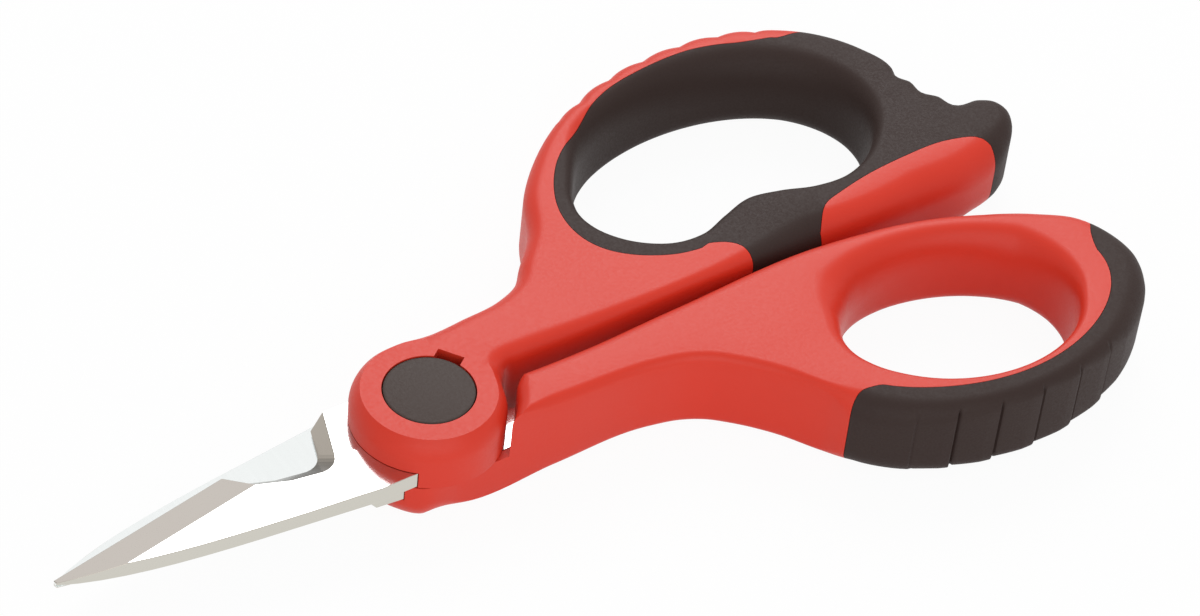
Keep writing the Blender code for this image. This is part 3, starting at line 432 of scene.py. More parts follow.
# The large half: a hard red core with the boss, the arm, the rear strip of the loop and the petal
# on the tail, and a soft black moulding shot round it that lines the finger hole and covers the
# tail.
MM = 0.001
FIT = 0.08
BOSS_HEIGHT = 14.0
HANDLE_HEIGHT = 12.8
MATING = 6.2
HALF_GAP = 0.06
BLADE_GAP = 0.15
BLADE_THICK = 2.5
HUB = 8.4
BOSS = 10.6
BOSS_EDGE = 5.2
BOSS_SWEEP = math.radians(43)
BOSS_STEP = 24
BOSS_BLEND = 18.0
BOSS_CLEARANCE = 1.2
ARM_FILLET = 2.2
CAP_SEAT = 6.35
SPAN = 0.7
ARC_STEPS = 8
WALL_SHARE = 0.38
HOLE_WIDEN = 1.3
HOLE_STRETCH = 1.7
HOLE_SHARE = 0.58
WALL_STEPS = 6
LEAST_UPRIGHT = 1 + HANDLE_HEIGHT / 4
FACE_GRID = 2.2
REACH = 6.0
MIDDLE = BOSS_HEIGHT / 2


def bell(offset, spread):
    return math.exp(-((offset / spread) ** 2))


def ellipse_spot(centre, half_length, half_width, tilt, angle):
    spot = Vector((half_length * math.cos(angle), half_width * math.sin(angle)))
    return Vector(centre) + Matrix.Rotation(tilt, 2) @ spot


def smooth_loop(stations, span=SPAN):
    """A closed smooth run through (x, y, edge radius, edge sweep) stations."""
    marks = np.array([(*station, math.pi / 2)[:4] for station in stations], float)
    ahead = np.roll(marks, -1, 0)
    length = np.linalg.norm((ahead - marks)[:, :2], axis=1)
    after = (ahead - marks) / length[:, None]
    before = np.roll(after, 1, 0)
    share = (np.roll(length, 1) / (np.roll(length, 1) + length))[:, None]
    slope = before * (1 - share) + after * share
    runs = []
    for i in range(len(marks)):
        j = (i + 1) % len(marks)
        steps = max(1, math.ceil(length[i] / span))
        t = (np.arange(steps) / steps)[:, None]
        bend = length[i] * (t * (1 - t) ** 2 * slope[i] - t**2 * (1 - t) * slope[j])
        runs.append(marks[i] + (marks[j] - marks[i]) * (t * t * (3 - 2 * t)) + bend)
    return np.concatenate(runs)


def soft_line(spots, span=1.0):
    """An open line through spots, bent smoothly at each of them."""
    spots = [Vector(spot[:2]) for spot in spots]
    padded = [2 * spots[0] - spots[1], *spots, 2 * spots[-1] - spots[-2]]
    line = []
    for before, start, end, after in zip(padded, padded[1:], padded[2:], padded[3:]):
        steps = max(1, math.ceil((end - start).length / span))
        for k in range(steps):
            t = k / steps
            lead, trail = (end - before) / 2, (after - start) / 2
            bend = lead * (t**3 - 2 * t**2 + t) + trail * (t**3 - t**2)
            line.append(start.lerp(end, t * t * (3 - 2 * t)) + bend)
    return line + [spots[-1]]


def inward(loop):
    run = np.roll(loop[:, :2], -1, 0) - np.roll(loop[:, :2], 1, 0)
    normal = np.stack((-run[:, 1], run[:, 0]), 1)
    return normal / np.linalg.norm(normal, axis=1)[:, None]


def moved_outline(spots, distance):
    """An anticlockwise outline moved inwards, or outwards where the distance is negative."""
    line = np.array([(spot[0], spot[1]) for spot in spots], float)
    moved = line + inward(line) * distance
    gaps = np.linalg.norm(moved[:, None] - line[None], axis=2).min(1)
    return [Vector(spot) for spot in moved[gaps >= 0.97 * abs(distance)]]


def half_depth(places):
    """Half the thickness of a handle: full at the boss, easing down towards the loop."""
    share = np.clip((np.linalg.norm(places, axis=-1) - BOSS) / BOSS_BLEND, 0, 1)
    ease = share * share * (3 - 2 * share)
    return (BOSS_HEIGHT + (HANDLE_HEIGHT - BOSS_HEIGHT) * ease) / 2


def skin(bm, rings):
    """Faces between each ring and the next."""
    for lower, upper in zip(rings, rings[1:]):
        for i in range(len(lower)):
            bm.faces.new((lower[i - 1], lower[i], upper[i], upper[i - 1]))


def wall_rings(bm, loop, into_body, other, wide=1.0, tall=1.0, most=WALL_SHARE):
    """Rings of a wall from the lower face to the upper one, with each point's own edge rounding.

    The upper rounding may be wider and taller than the lower one, up to its share of the wall.
    """
    wall = np.linalg.norm(loop[:, None, :2] - other[None, :, :2], axis=2).min(1)
    sweep = loop[:, 3]
    limit = wall / (1 - np.cos(sweep))
    radii = {
        -1: np.minimum(loop[:, 2], WALL_SHARE * limit),
        1: np.minimum(wide * loop[:, 2], most * limit),
    }
    normal = inward(loop) * into_body

    def ring_at(side, k):
        turn = sweep * k / ARC_STEPS
        spots = loop[:, :2] + normal * (radii[side] * (1 - np.cos(turn)))[:, None]
        drop = radii[side] * (tall if side > 0 else 1)
        drop = np.minimum(drop, 2 * MIDDLE - LEAST_UPRIGHT - radii[-1])
        lift = half_depth(spots) - drop * (np.sin(sweep) - np.sin(turn))
        return np.column_stack((spots, MIDDLE + side * lift))

    low, high = ring_at(-1, 0), ring_at(1, 0)
    courses = [ring_at(-1, k) for k in range(ARC_STEPS, 0, -1)]
    courses += [low + (high - low) * j / WALL_STEPS for j in range(WALL_STEPS + 1)]
    courses += [ring_at(1, k) for k in range(1, ARC_STEPS + 1)]
    rings = [[bm.verts.new(spot) for spot in course] for course in courses]
    skin(bm, rings)
    return rings


def inside(spots, loop):
    """Which of the spots lie inside a closed loop."""
    found = np.zeros(len(spots), bool)
    for (ax, ay), (bx, by) in zip(np.roll(loop, 1, 0), loop):
        if ay != by:
            crossing = ax + (bx - ax) * (spots[:, 1] - ay) / (by - ay)
            found ^= ((ay > spots[:, 1]) != (by > spots[:, 1])) & (spots[:, 0] < crossing)
    return found


def face_between(bm, outer_ring, hole_ring, side):
    """The flat of a handle between its outer edge and its hole, with points where it eases down."""
    rims = outer_ring + hole_ring
    places = np.array([vert.co.xy for vert in rims])
    count = len(outer_ring)
    outer, hole = places[:count], places[count:]
    edges = [(i, (i + 1) % count) for i in range(count)]
    edges += [(count + i, count + (i + 1) % len(hole)) for i in range(len(hole))]
    reach = math.ceil((BOSS + BOSS_BLEND) / FACE_GRID)
    steps = np.arange(-reach, reach + 1) * FACE_GRID
    grid = np.stack(np.meshgrid(steps, steps), -1).reshape(-1, 2)
    grid = grid[inside(grid, outer) & ~inside(grid, hole)]
    gaps = np.linalg.norm(grid[:, None] - places[None], axis=2).min(1)
    grid = grid[gaps > FACE_GRID / 2]
    verts = list(rims)
    for spot, lift in zip(grid, half_depth(grid)):
        verts.append(bm.verts.new((spot[0], spot[1], MIDDLE + side * lift)))
    spots = [Vector(spot) for spot in np.concatenate((places, grid))]
    found = delaunay_2d_cdt(spots, edges, [], 1, 0.00001)
    sources = [origin[0] for origin in found[3]]
    corners = [[sources[i] for i in triangle] for triangle in found[2]]
    centres = np.array([np.mean([verts[i].co.xy for i in three], axis=0) for three in corners])
    for three, in_hole in zip(corners, inside(centres, hole)):
        if not in_hole:
            bm.faces.new([verts[i] for i in three])


def new_piece(name, bm):
    """A mesh drawn in millimetres as an object in metres."""
    bmesh.ops.scale(bm, vec=(MM, MM, MM), verts=bm.verts)
    bmesh.ops.recalc_face_normals(bm, faces=bm.faces)
    mesh = bpy.data.meshes.new(name)
    bm.to_mesh(mesh)
    bm.free()
    piece = bpy.data.objects.new(name, mesh)
    scene.collection.objects.link(piece)
    return piece


def moulded_body(name, outer, hole):
    """The whole handle in one: an outline with a hole, all edges rounded."""
    bm = bmesh.new()
    outer_rings = wall_rings(bm, outer, 1, hole)
    hole_rings = wall_rings(bm, hole, -1, outer, HOLE_WIDEN, HOLE_STRETCH, HOLE_SHARE)
    face_between(bm, outer_rings[0], hole_rings[0], -1)
    face_between(bm, outer_rings[-1], hole_rings[-1], 1)
    return new_piece(name, bm)


def block(outline, low, high):
    """A straight block on an anticlockwise outline, to cut with."""
    bm = bmesh.new()
    rings = []
    for height in (low, high):
        rings.append([bm.verts.new((spot[0], spot[1], height)) for spot in outline])
    bm.faces.new(rings[0])
    bm.faces.new(rings[1])
    skin(bm, rings)
    return new_piece("block", bm)


def disc(radius, low, high, steps=96):
    turns = [2 * math.pi * k / steps for k in range(steps)]
    return block([radius * Vector((math.cos(a), math.sin(a))) for a in turns], low, high)


def cut(piece, tool, operation="DIFFERENCE", keep=False):
    step = piece.modifiers.new("cut", "BOOLEAN")
    step.operation = operation
    step.object = tool
    step.solver = "MANIFOLD"
    settle(piece)
    if not keep:
        bpy.data.objects.remove(tool)
    return piece


def boss_stations(first, last):
    """Stations round the boss, between two angles in degrees."""
    steps = max(1, round(abs(last - first) / BOSS_STEP))
    turns = [math.radians(first + (last - first) * k / steps) for k in range(steps + 1)]
    return [(BOSS * math.cos(a), BOSS * math.sin(a), BOSS_EDGE, BOSS_SWEEP) for a in turns]


LARGE_HOLE = Vector((61.25, 21.1))
LARGE_HOLE_HALF = Vector((24.1, 15.9))
LARGE_HOLE_TILT = math.radians(3.3)
LARGE_HOLE_EDGE = 1.2
LARGE_HOLE_FLARE = 2.4
LARGE_FLARE_ANGLE = math.radians(60)
HOLE_BULGE = 1.2
HOLE_BULGE_ANGLE = math.radians(-25)
HOLE_BULGE_SPREAD = math.radians(38)
SHOULDER_DEPTH = 1.5
SHOULDER_ANGLE = math.radians(151)
SHOULDER_SPREAD = math.radians(24)
SADDLE_X = 60.0
SADDLE_RISE = 6.5
SADDLE_SPANS = (9.3, 10.8)
LOOP_CENTRE = LARGE_HOLE + Vector((-0.3, -4.2))
LOOP_HALF = LARGE_HOLE_HALF + Vector((10.7, 9.6))
LOOP_TILT = math.radians(19)
LARGE_EDGE = 2.4
PETAL_EDGE = 5.0
PETAL_SWEEP = math.radians(78)
ARM_FACE = 0.5
ARM_REAR = 10.2
ARM_NECK = 18.0
ARM_END = 53.2
LARGE_BOSS_ARC = (84, 350)
TAIL_TIP = Vector((104.15, 9.0))
TAIL_NOSE = 3.85
TAIL_BELLY = 11.5
TAIL_THROAT = 1.4
TAIL_WAVES = ((0.224, 0.29), (0.456, 1.0), (0.712, 0.51), (0.938, 0.84), (1.08, 0.17))
LINER = 3.0
LINER_PINCH = 1.45
PINCH_ANGLE = math.radians(125)
PINCH_SPREAD = math.radians(16)
LINER_SWELL = 1.1
LINER_SWELL_ANGLE = math.radians(203)
LINER_SWELL_SPREAD = math.radians(20)
LINER_CREST = 1.4
CREST_ANGLE = math.radians(62)
CREST_SPREAD = math.radians(22)
STRIP_RISE = 4.2
STRIP_END = math.radians(36)
STRIP_START = math.radians(60)
LINER_END = math.radians(238)
LINER_STEPS = 24
PETAL_START = 65.3
PETAL_END = 96.9
PETAL_DEPTH = 6.3
SCALLOPS = 6
SCALLOP_FIRST = math.radians(38)
SCALLOP_PITCH = math.radians(11.4)
SCALLOP_DEPTH = 0.5
SCALLOP_FADE = (20.0, 21.0)


def large_hole_spot(angle, margin=0.0):
    half = LARGE_HOLE_HALF + Vector((margin, margin))
    spot = ellipse_spot(LARGE_HOLE, half.x, half.y, LARGE_HOLE_TILT, angle)
    off_bulge = math.remainder(angle - HOLE_BULGE_ANGLE, 2 * math.pi)
    bulge = HOLE_BULGE * bell(off_bulge, HOLE_BULGE_SPREAD)
    shoulder = SHOULDER_DEPTH * bell(angle - SHOULDER_ANGLE, SHOULDER_SPREAD)
    spot += (spot - LARGE_HOLE).normalized() * (bulge - shoulder)
    span = SADDLE_SPANS[0] if spot.x < SADDLE_X else SADDLE_SPANS[1]
    if spot.y < LARGE_HOLE.y:
        spot.y += SADDLE_RISE * bell(spot.x - SADDLE_X, span)
    return spot


def large_loop_spot(degrees):
    return ellipse_spot(LOOP_CENTRE, LOOP_HALF.x, LOOP_HALF.y, LOOP_TILT, math.radians(degrees))


def large_outline():
    """Outer edge of the large handle, anticlockwise from the arm beside the boss."""
    root = BOSS + ARM_FILLET
    nose = TAIL_TIP - Vector((TAIL_NOSE, 0))
    nose_edge = 0.6 * TAIL_NOSE
    stations = [
        (root, ARM_FACE, LARGE_EDGE),
        (root + ARM_FILLET, ARM_FACE, LARGE_EDGE),
        (ARM_END, ARM_FACE, LARGE_EDGE),
        (PETAL_START, ARM_FACE, PETAL_EDGE, PETAL_SWEEP),
        (TAIL_TIP.x - 1.9 * TAIL_BELLY, ARM_FACE, PETAL_EDGE, PETAL_SWEEP),
        (TAIL_TIP.x - TAIL_BELLY, ARM_FACE + 0.02 * TAIL_BELLY, PETAL_EDGE, PETAL_SWEEP),
        (
            TAIL_TIP.x - 0.4 * TAIL_BELLY,
            ARM_FACE + 0.22 * TAIL_BELLY,
            (PETAL_EDGE + nose_edge) / 2,
        ),
    ]
    for degrees in (-38, -5, 35, 75):
        spot = ellipse_spot(nose, TAIL_NOSE, TAIL_NOSE, 0, math.radians(degrees))
        stations.append((spot.x, spot.y, nose_edge))
    dip = nose + TAIL_NOSE * Vector((-0.68, 1.17))
    stations.append((dip.x, dip.y, nose_edge))
    rise = large_loop_spot(-12) - dip
    outward = Vector((rise.y, -rise.x)).normalized()
    for share, depth in TAIL_WAVES:
        spot = dip + rise * share - outward * TAIL_THROAT * depth
        stations.append((spot.x, spot.y, 0.7 * nose_edge))
    for degrees in range(4, 150, 16):
        spot = large_loop_spot(degrees)
        stations.append((spot.x, spot.y, LARGE_EDGE))
    neck = large_loop_spot(148)
    for share, rise in ((0.62, 0.57), (0.36, 0.27), (0.0, 0.1)):
        across = ARM_NECK + share * (neck.x - ARM_NECK)
        stations.append((across, ARM_REAR + rise * (neck.y - ARM_REAR), LARGE_EDGE))
    stations.append((BOSS, ARM_REAR, LARGE_EDGE))
    return smooth_loop(stations + boss_stations(*LARGE_BOSS_ARC))


def large_hole():
    stations = []
    for degrees in range(0, 360, 12):
        angle = math.radians(degrees)
        spot = large_hole_spot(angle)
        flare = LARGE_HOLE_FLARE * max(0, math.cos(angle - LARGE_FLARE_ANGLE))
        stations.append((spot.x, spot.y, LARGE_HOLE_EDGE + flare))
    return smooth_loop(stations)


def liner_spot(angle):
    """Edge of the black liner: pinched at the shoulder, swollen at the arm, run out at the rear."""
    width = LINER - LINER_PINCH * bell(angle - PINCH_ANGLE, PINCH_SPREAD)
    width += LINER_SWELL * bell(angle - LINER_SWELL_ANGLE, LINER_SWELL_SPREAD)
    width += LINER_CREST * bell(angle - CREST_ANGLE, CREST_SPREAD)
    if angle < STRIP_START:
        width += STRIP_RISE * ((STRIP_START - angle) / (STRIP_START - STRIP_END)) ** 2
    return large_hole_spot(angle, width)


def large_grip_plan():
    """Plan of the black moulding on the large loop, anticlockwise: liner, band and tail."""
    low, top = ARM_FACE - REACH, ARM_FACE + PETAL_DEPTH
    far = TAIL_TIP.x + REACH
    petal = soft_line([
        (PETAL_START, low),
        (PETAL_START, ARM_FACE),
        (PETAL_START + 0.4, ARM_FACE + 0.2 * PETAL_DEPTH),
        (PETAL_START + 2.8, ARM_FACE + 0.6 * PETAL_DEPTH),
        (PETAL_START + 6.4, ARM_FACE + 0.78 * PETAL_DEPTH),
        (PETAL_START + 13.4, top - 0.15),
        (PETAL_END - 8.7, top + 0.3),
        (PETAL_END - 4.2, top - 0.35),
        (PETAL_END - 1.5, top - 1.4),
        (PETAL_END - 0.2, top - 2.9),
        (PETAL_END, top - 4.5),
        (PETAL_END, low),
    ])
    sweep = (LINER_END - STRIP_END) / LINER_STEPS
    turns = [STRIP_END + sweep * k for k in range(LINER_STEPS + 1)]
    strip = liner_spot(STRIP_END)
    liner = soft_line(
        [(far, strip.y)]
        + [liner_spot(angle) for angle in turns]
        + [
            (ARM_END - 4, ARM_FACE + 5.2),
            (ARM_END - 1.2, ARM_FACE + 3.8),
            (ARM_END, ARM_FACE + 1.2),
            (ARM_END, low),
        ]
    )
    return petal + [Vector((far, low))] + liner


def rib_plan(spot_at, first, last, near, wide):
    """Plan of a rib round a hole, anticlockwise."""
    steps = 40
    turns = [first + (last - first) * k / steps for k in range(steps + 1)]
    return [spot_at(a, near + wide) for a in turns] + [spot_at(a, near) for a in reversed(turns)]


LINER_RIB_ARC = (math.radians(215), math.radians(385))
RIB_HEIGHT = 5.0
RIB_MARGIN = 0.8
RIB_WIDTH = 2.4


def split_mouldings(core_name, grip_name, body, plan, rib):
    """Parts a handle into its hard core, which keeps a rib, and the soft moulding round the rib."""
    low, high = -REACH, BOSS_HEIGHT + REACH
    half = RIB_HEIGHT / 2
    grip = bpy.data.objects.new(grip_name, body.data.copy())
    scene.collection.objects.link(grip)
    core = body
    core.name = core_name
    room = cut(block(plan, low, high), block(rib, MIDDLE - half, MIDDLE + half))
    cut(core, room)
    cut(grip, block(moved_outline(plan, FIT), low, high), "INTERSECT")
    cut(grip, block(moved_outline(rib, -FIT), MIDDLE - half - FIT, MIDDLE + half + FIT))
    return core, grip


RIB_RIM = (0.86, 0.95)
RIB_RUN_OUT = (0.3, 0.2)


def rib_tree():
    """Geometry nodes that carve ribs into a loop's outer wall, a notch at each step of it."""
    tree = bpy.data.node_groups.new("carved_ribs", "GeometryNodeTree")
    face = tree.interface
    face.new_socket("Geometry", in_out="OUTPUT", socket_type="NodeSocketGeometry")
    face.new_socket("Geometry", in_out="INPUT", socket_type="NodeSocketGeometry")
    face.new_socket("Centre", in_out="INPUT", socket_type="NodeSocketVector")
    for name in (
        "Half Length", "Half Width", "Tilt", "First", "Pitch", "Count", "Depth", "Ramp", "Step",
        "Sharpness", "Line Depth", "Line Width", "First Share", "Fade From", "Fade To",
    ):
        face.new_socket(name, in_out="INPUT", socket_type="NodeSocketFloat")
    face.new_socket("Finish", in_out="INPUT", socket_type="NodeSocketMaterial")
    given = tree.nodes.new("NodeGroupInput").outputs

    def sum_of(operation, *values):
        return math_step(tree, operation, *values)

    def span_of(*values):
        return map_range(tree, *values)

    def turned(vector, angle):
        node = tree.nodes.new("ShaderNodeVectorRotate")
        node.rotation_type = "Z_AXIS"
        tree.links.new(vector, node.inputs["Vector"])
        wire(tree, angle, node.inputs["Angle"])
        return node.outputs[0]

    place = tree.nodes.new("GeometryNodeInputPosition").outputs[0]
    from_centre = tree.nodes.new("ShaderNodeVectorMath")
    from_centre.operation = "SUBTRACT"
    tree.links.new(place, from_centre.inputs[0])
    tree.links.new(given["Centre"], from_centre.inputs[1])
    own = tree.nodes.new("ShaderNodeSeparateXYZ")
    untilt = sum_of("MULTIPLY", given["Tilt"], -1)
    tree.links.new(turned(from_centre.outputs[0], untilt), own.inputs[0])
    along = sum_of("DIVIDE", own.outputs["X"], given["Half Length"])
    across = sum_of("DIVIDE", own.outputs["Y"], given["Half Width"])
    squares = [sum_of("MULTIPLY", share, share) for share in (along, across)]
    reach = sum_of("SQRT", sum_of("ADD", *squares))
    angle = sum_of("ARCTAN2", across, along)
    phase = sum_of("DIVIDE", sum_of("SUBTRACT", angle, given["First"]), given["Pitch"])
    offset = sum_of("MULTIPLY", sum_of("FRACT", phase), given["Pitch"])
    ramp = span_of(offset, 0, given["Ramp"], 1, 0)
    step_start = sum_of("SUBTRACT", given["Pitch"], given["Step"])
    step = span_of(offset, step_start, given["Pitch"], 0, 1)
    notch = sum_of("POWER", sum_of("MAXIMUM", ramp, step), given["Sharpness"])
    before = sum_of("DIVIDE", given["Step"], sum_of("MULTIPLY", given["Pitch"], -1))
    first = span_of(phase, before, 0, 0, 1)
    run_out = [sum_of("SUBTRACT", given["Count"], short) for short in RIB_RUN_OUT]
    last = span_of(phase, *run_out, 1, 0)
    own_height = tree.nodes.new("ShaderNodeSeparateXYZ")
    tree.links.new(place, own_height.inputs[0])
    fade = span_of(own_height.outputs["Z"], given["Fade From"], given["Fade To"], 1, 0)
    rim = span_of(reach, *RIB_RIM, 0, 1)
    aside = sum_of("MINIMUM", offset, sum_of("SUBTRACT", given["Pitch"], offset))
    line = span_of(aside, 0, given["Line Width"], given["Line Depth"], 0)
    gain = span_of(phase, 0, 1, given["First Share"], 1)
    depth = sum_of("ADD", sum_of("MULTIPLY", given["Depth"], notch), line)
    for share in (gain, first, last, fade, rim):
        depth = sum_of("MULTIPLY", depth, share)
    outward = tree.nodes.new("ShaderNodeCombineXYZ")
    tree.links.new(sum_of("DIVIDE", along, given["Half Length"]), outward.inputs["X"])
    tree.links.new(sum_of("DIVIDE", across, given["Half Width"]), outward.inputs["Y"])
    unit = tree.nodes.new("ShaderNodeVectorMath")
    unit.operation = "NORMALIZE"
    tree.links.new(turned(outward.outputs[0], given["Tilt"]), unit.inputs[0])
    push = tree.nodes.new("ShaderNodeVectorMath")
    push.operation = "SCALE"
    tree.links.new(unit.outputs[0], push.inputs[0])
    tree.links.new(sum_of("MULTIPLY", depth, -1), push.inputs["Scale"])
    move = tree.nodes.new("GeometryNodeSetPosition")
    tree.links.new(given["Geometry"], move.inputs["Geometry"])
    tree.links.new(push.outputs[0], move.inputs["Offset"])
    real = tree.nodes.new("GeometryNodeRealizeInstances")
    tree.links.new(move.outputs[0], real.inputs[0])
    coat = tree.nodes.new("GeometryNodeSetMaterial")
    tree.links.new(real.outputs[0], coat.inputs["Geometry"])
    tree.links.new(given["Finish"], coat.inputs["Material"])
    out = tree.nodes.new("NodeGroupOutput")
    tree.links.new(coat.outputs[0], out.inputs[0])
    return tree


CARVED_RIBS = rib_tree()


def carve_ribs(piece, **values):
    """Carves ribs into a piece; lengths are in metres and angles in radians."""
    step = piece.modifiers.new("ribs", "NODES")
    step.node_group = CARVED_RIBS
    for item in CARVED_RIBS.interface.items_tree:
        key = item.name.lower().replace(" ", "_")
        if item.in_out == "INPUT" and key in values:
            step[item.identifier] = values[key]
    settle(piece)


RED = (0.695, 0.040, 0.0185, 1)
RED_DEEP = (0.66, 0.036, 0.016, 1)
BLACK = (0.028, 0.015, 0.0125, 1)
BLACK_PALE = (0.033, 0.0185, 0.0152, 1)


def moulded_finish(name, colour, shades, shine, cloud_scale, pore_scale, roughness, relief):
    """A moulded surface: clouds of two close shades, and fine pores that break up its shine."""
    made, shader, place = finish(name, colour, sum(roughness) / 2)
    shader.inputs["Specular IOR Level"].default_value = shine
    tinted(made, mottle(made, place, cloud_scale), *shades, shader.inputs["Base Color"])
    pores = mottle(made, place, pore_scale, 2.0)
    ranged(made, pores, *roughness, shader.inputs["Roughness"])
    raised(made, pores, relief, shader)
    return made


red_plastic = moulded_finish(
    "red_plastic",
    RED,
    (RED_DEEP, RED),
    shine=0.3,
    cloud_scale=45.0,
    pore_scale=2600.0,
    roughness=(0.38, 0.48),
    relief=0.000006,
)
black_rubber = moulded_finish(
    "black_rubber",
    BLACK,
    (BLACK, BLACK_PALE),
    shine=0.22,
    cloud_scale=70.0,
    pore_scale=3400.0,
    roughness=(0.52, 0.66),
    relief=0.000008,
)

TANG_STEP = 0.5
TANG_WIDTH = 6.0
TANG_END = 33.6
TANG_ROUND = 2.4
BLADE_SPINE = 8.2
BLOCK_EDGE = 7.5
SPINE_TURN = -12
BLOCK_TURN = -11.7
PAST_BOSS = -30
POCKET_ROOM = 0.15
POCKET_HEADROOM = 0.1


def hub_arc(first, last, steps):
    """Spots round the hub of a blade, between two angles."""
    turns = [first + (last - first) * k / steps for k in range(steps + 1)]
    return [HUB * Vector((math.cos(a), math.sin(a))) for a in turns]


def tang_pocket(flip):
    """Room for a blade's hub and tang in the boss: flip puts it on the lower blade's side."""
    tang_high = HUB - TANG_STEP
    tang_low = tang_high - TANG_WIDTH
    spots = [Vector((x, -BLADE_SPINE)) for x in (PAST_BOSS, SPINE_TURN)]
    first = math.pi + math.asin(BLADE_SPINE / HUB)
    spots += hub_arc(first, 2 * math.pi + math.asin(tang_low / HUB), 24)
    for degrees in range(-90, 91, 15):
        a = math.radians(degrees)
        corner = tang_low + TANG_ROUND if degrees <= 0 else tang_high - TANG_ROUND
        spots.append(Vector((TANG_END, corner)) + TANG_ROUND * Vector((math.cos(a), math.sin(a))))
    spots += hub_arc(math.asin(tang_high / HUB), math.pi - math.asin(BLOCK_EDGE / HUB), 12)
    edge = BLOCK_EDGE - (BLOCK_BACK / MM if flip else 0)
    spots += [Vector((x, edge)) for x in (BLOCK_TURN, PAST_BOSS)]
    outline = moved_outline(spots, -POCKET_ROOM)
    low, high = MATING, MATING + BLADE_GAP + BLADE_THICK + POCKET_HEADROOM
    if flip:
        outline = [Vector((spot.x, -spot.y)) for spot in reversed(outline)]
        low, high = 2 * MATING - high, 2 * MATING - low
    return block(outline, low, high)


PRY_TURN = math.radians(35)
PRY_DEPTH = 2.6
PRY_NEAR = 4.8
PRY_FAR = 7.6
PRY_HALF = 1.9

body = moulded_body("large_body", large_outline(), large_hole())
carve_ribs(
    body,
    centre=(LOOP_CENTRE.x * MM, LOOP_CENTRE.y * MM, 0),
    half_length=LOOP_HALF.x * MM,
    half_width=LOOP_HALF.y * MM,
    tilt=LOOP_TILT,
    first=SCALLOP_FIRST,
    pitch=SCALLOP_PITCH,
    count=SCALLOPS,
    depth=SCALLOP_DEPTH * MM,
    ramp=SCALLOP_PITCH / 2,
    step=SCALLOP_PITCH / 2,
    sharpness=2.0,
    line_depth=0.0,
    line_width=0.01,
    first_share=1.0,
    fade_from=SCALLOP_FADE[0] * MM,
    fade_to=SCALLOP_FADE[1] * MM,
    finish=red_plastic,
)
large_core, large_grip = split_mouldings(
    "large_core",
    "large_soft_grip",
    body,
    large_grip_plan(),
    rib_plan(large_hole_spot, *LINER_RIB_ARC, LINER + RIB_MARGIN, RIB_WIDTH),
)
cut(large_core, disc(BOSS + BOSS_CLEARANCE, -REACH, MATING + HALF_GAP))
cut(large_core, tang_pocket(False))
cut(large_core, disc(CAP_SEAT, MATING + BLADE_GAP + BLADE_THICK, BOSS_HEIGHT + REACH))
slot_spots = [
    (PRY_NEAR, -PRY_HALF),
    (PRY_FAR, -PRY_HALF),
    (PRY_FAR, PRY_HALF),
    (PRY_NEAR, PRY_HALF),
]
slot_spots = [Matrix.Rotation(PRY_TURN, 2) @ Vector(spot) for spot in slot_spots]
cut(large_core, block(slot_spots, BOSS_HEIGHT - PRY_DEPTH, BOSS_HEIGHT + REACH))
dress(large_core, red_plastic, "large_half", "red_core", "large_loop_handle")
dress(large_grip, black_rubber, "large_half", "soft_grip", "large_loop_grip")


# The small half: a hard red core with the lower boss, the arm and the inside of the loop, and a
# soft black moulding round the outside of the loop, with carved grip ribs.
SMALL_HOLE = Vector((72.7, -20.95))
SMALL_HOLE_HALF = Vector((17.6, 12.95))
SMALL_HOLE_TILT = math.radians(-10.9)
THUMB_LOOP = SMALL_HOLE + Vector((1.9, -1.75))
THUMB_LOOP_HALF = SMALL_HOLE_HALF + Vector((9.85, 3.5))
THUMB_LOOP_TILT = math.radians(2)
SMALL_FACE = -1.1
SMALL_DRAFT = 1.4
SMALL_FRONT = -9.2
SMALL_SPREAD = 1.1
SMALL_ARM = 30.0
SMALL_BOSS_ARC = (-5, 238)
SMALL_SPAN = 0.2
NECK_HOLLOW = 3.44
NECK_ARCH = ((0.135, 0.62), (0.261, 0.93), (0.38, 1.0), (0.614, 0.9), (0.855, 0.5))
SMALL_EDGE = 1.3
SMALL_REAR_EDGE = 2.2
SMALL_GRIP_EDGE = 3.2
SMALL_HOLE_EDGE = 0.9
SMALL_HOLE_FLARE = 2.7
SMALL_FLARE_ANGLE = math.radians(75)
THUMB_FLARE = 2.4
THUMB_FLARE_ANGLE = math.radians(145)
THUMB_REST = 1.3
THUMB_REST_ANGLE = math.radians(160)
THUMB_REST_SPREAD = math.radians(30)
THUMB_REST_EDGE = 0.3
RIM_CENTRE = SMALL_HOLE + Vector((0, 0.8))
RIM_HALF = Vector((23.6, 14.6))
RIM_TILT = math.radians(-4.8)
RIM_SWELL = 0.75
SWELL_ANGLE = math.radians(-82)
SWELL_SPREAD = math.radians(34)
GRIP_FIRST = math.radians(-139)
GRIP_LAST = math.radians(2)
GRIP_CORNER = 4.3
GRIP_HEEL = ((-1.25, 0.35), (-3.05, 0.55), (-4.65, 0.0), (-6.15, -1.1))
GRIP_STEPS = 40
KEY_DEPTH = 1.2
KEY_SHORT = 0.24
CORNER_EASE = 4.0
CORNER_SPREAD = math.radians(12)
ROOM_FLARE = 2.0
RIBS = 6
RIB_FIRST = math.radians(-136)
RIB_PITCH = math.radians(14.4)
RIB_DEPTH = 0.4
RIB_LINE = 0.5
RIB_LINE_WIDTH = 0.014
RIB_FIRST_SHARE = 0.3
RIB_FADE = (11.6, 13.0)
HEAD_ROOM = 5.3


def thumb_loop_spot(degrees):
    half = THUMB_LOOP_HALF
    return ellipse_spot(THUMB_LOOP, half.x, half.y, THUMB_LOOP_TILT, math.radians(degrees))


def rim_spot(angle, margin=0.0):
    margin += RIM_SWELL * bell(angle - SWELL_ANGLE, SWELL_SPREAD)
    return ellipse_spot(RIM_CENTRE, RIM_HALF.x + margin, RIM_HALF.y + margin, RIM_TILT, angle)


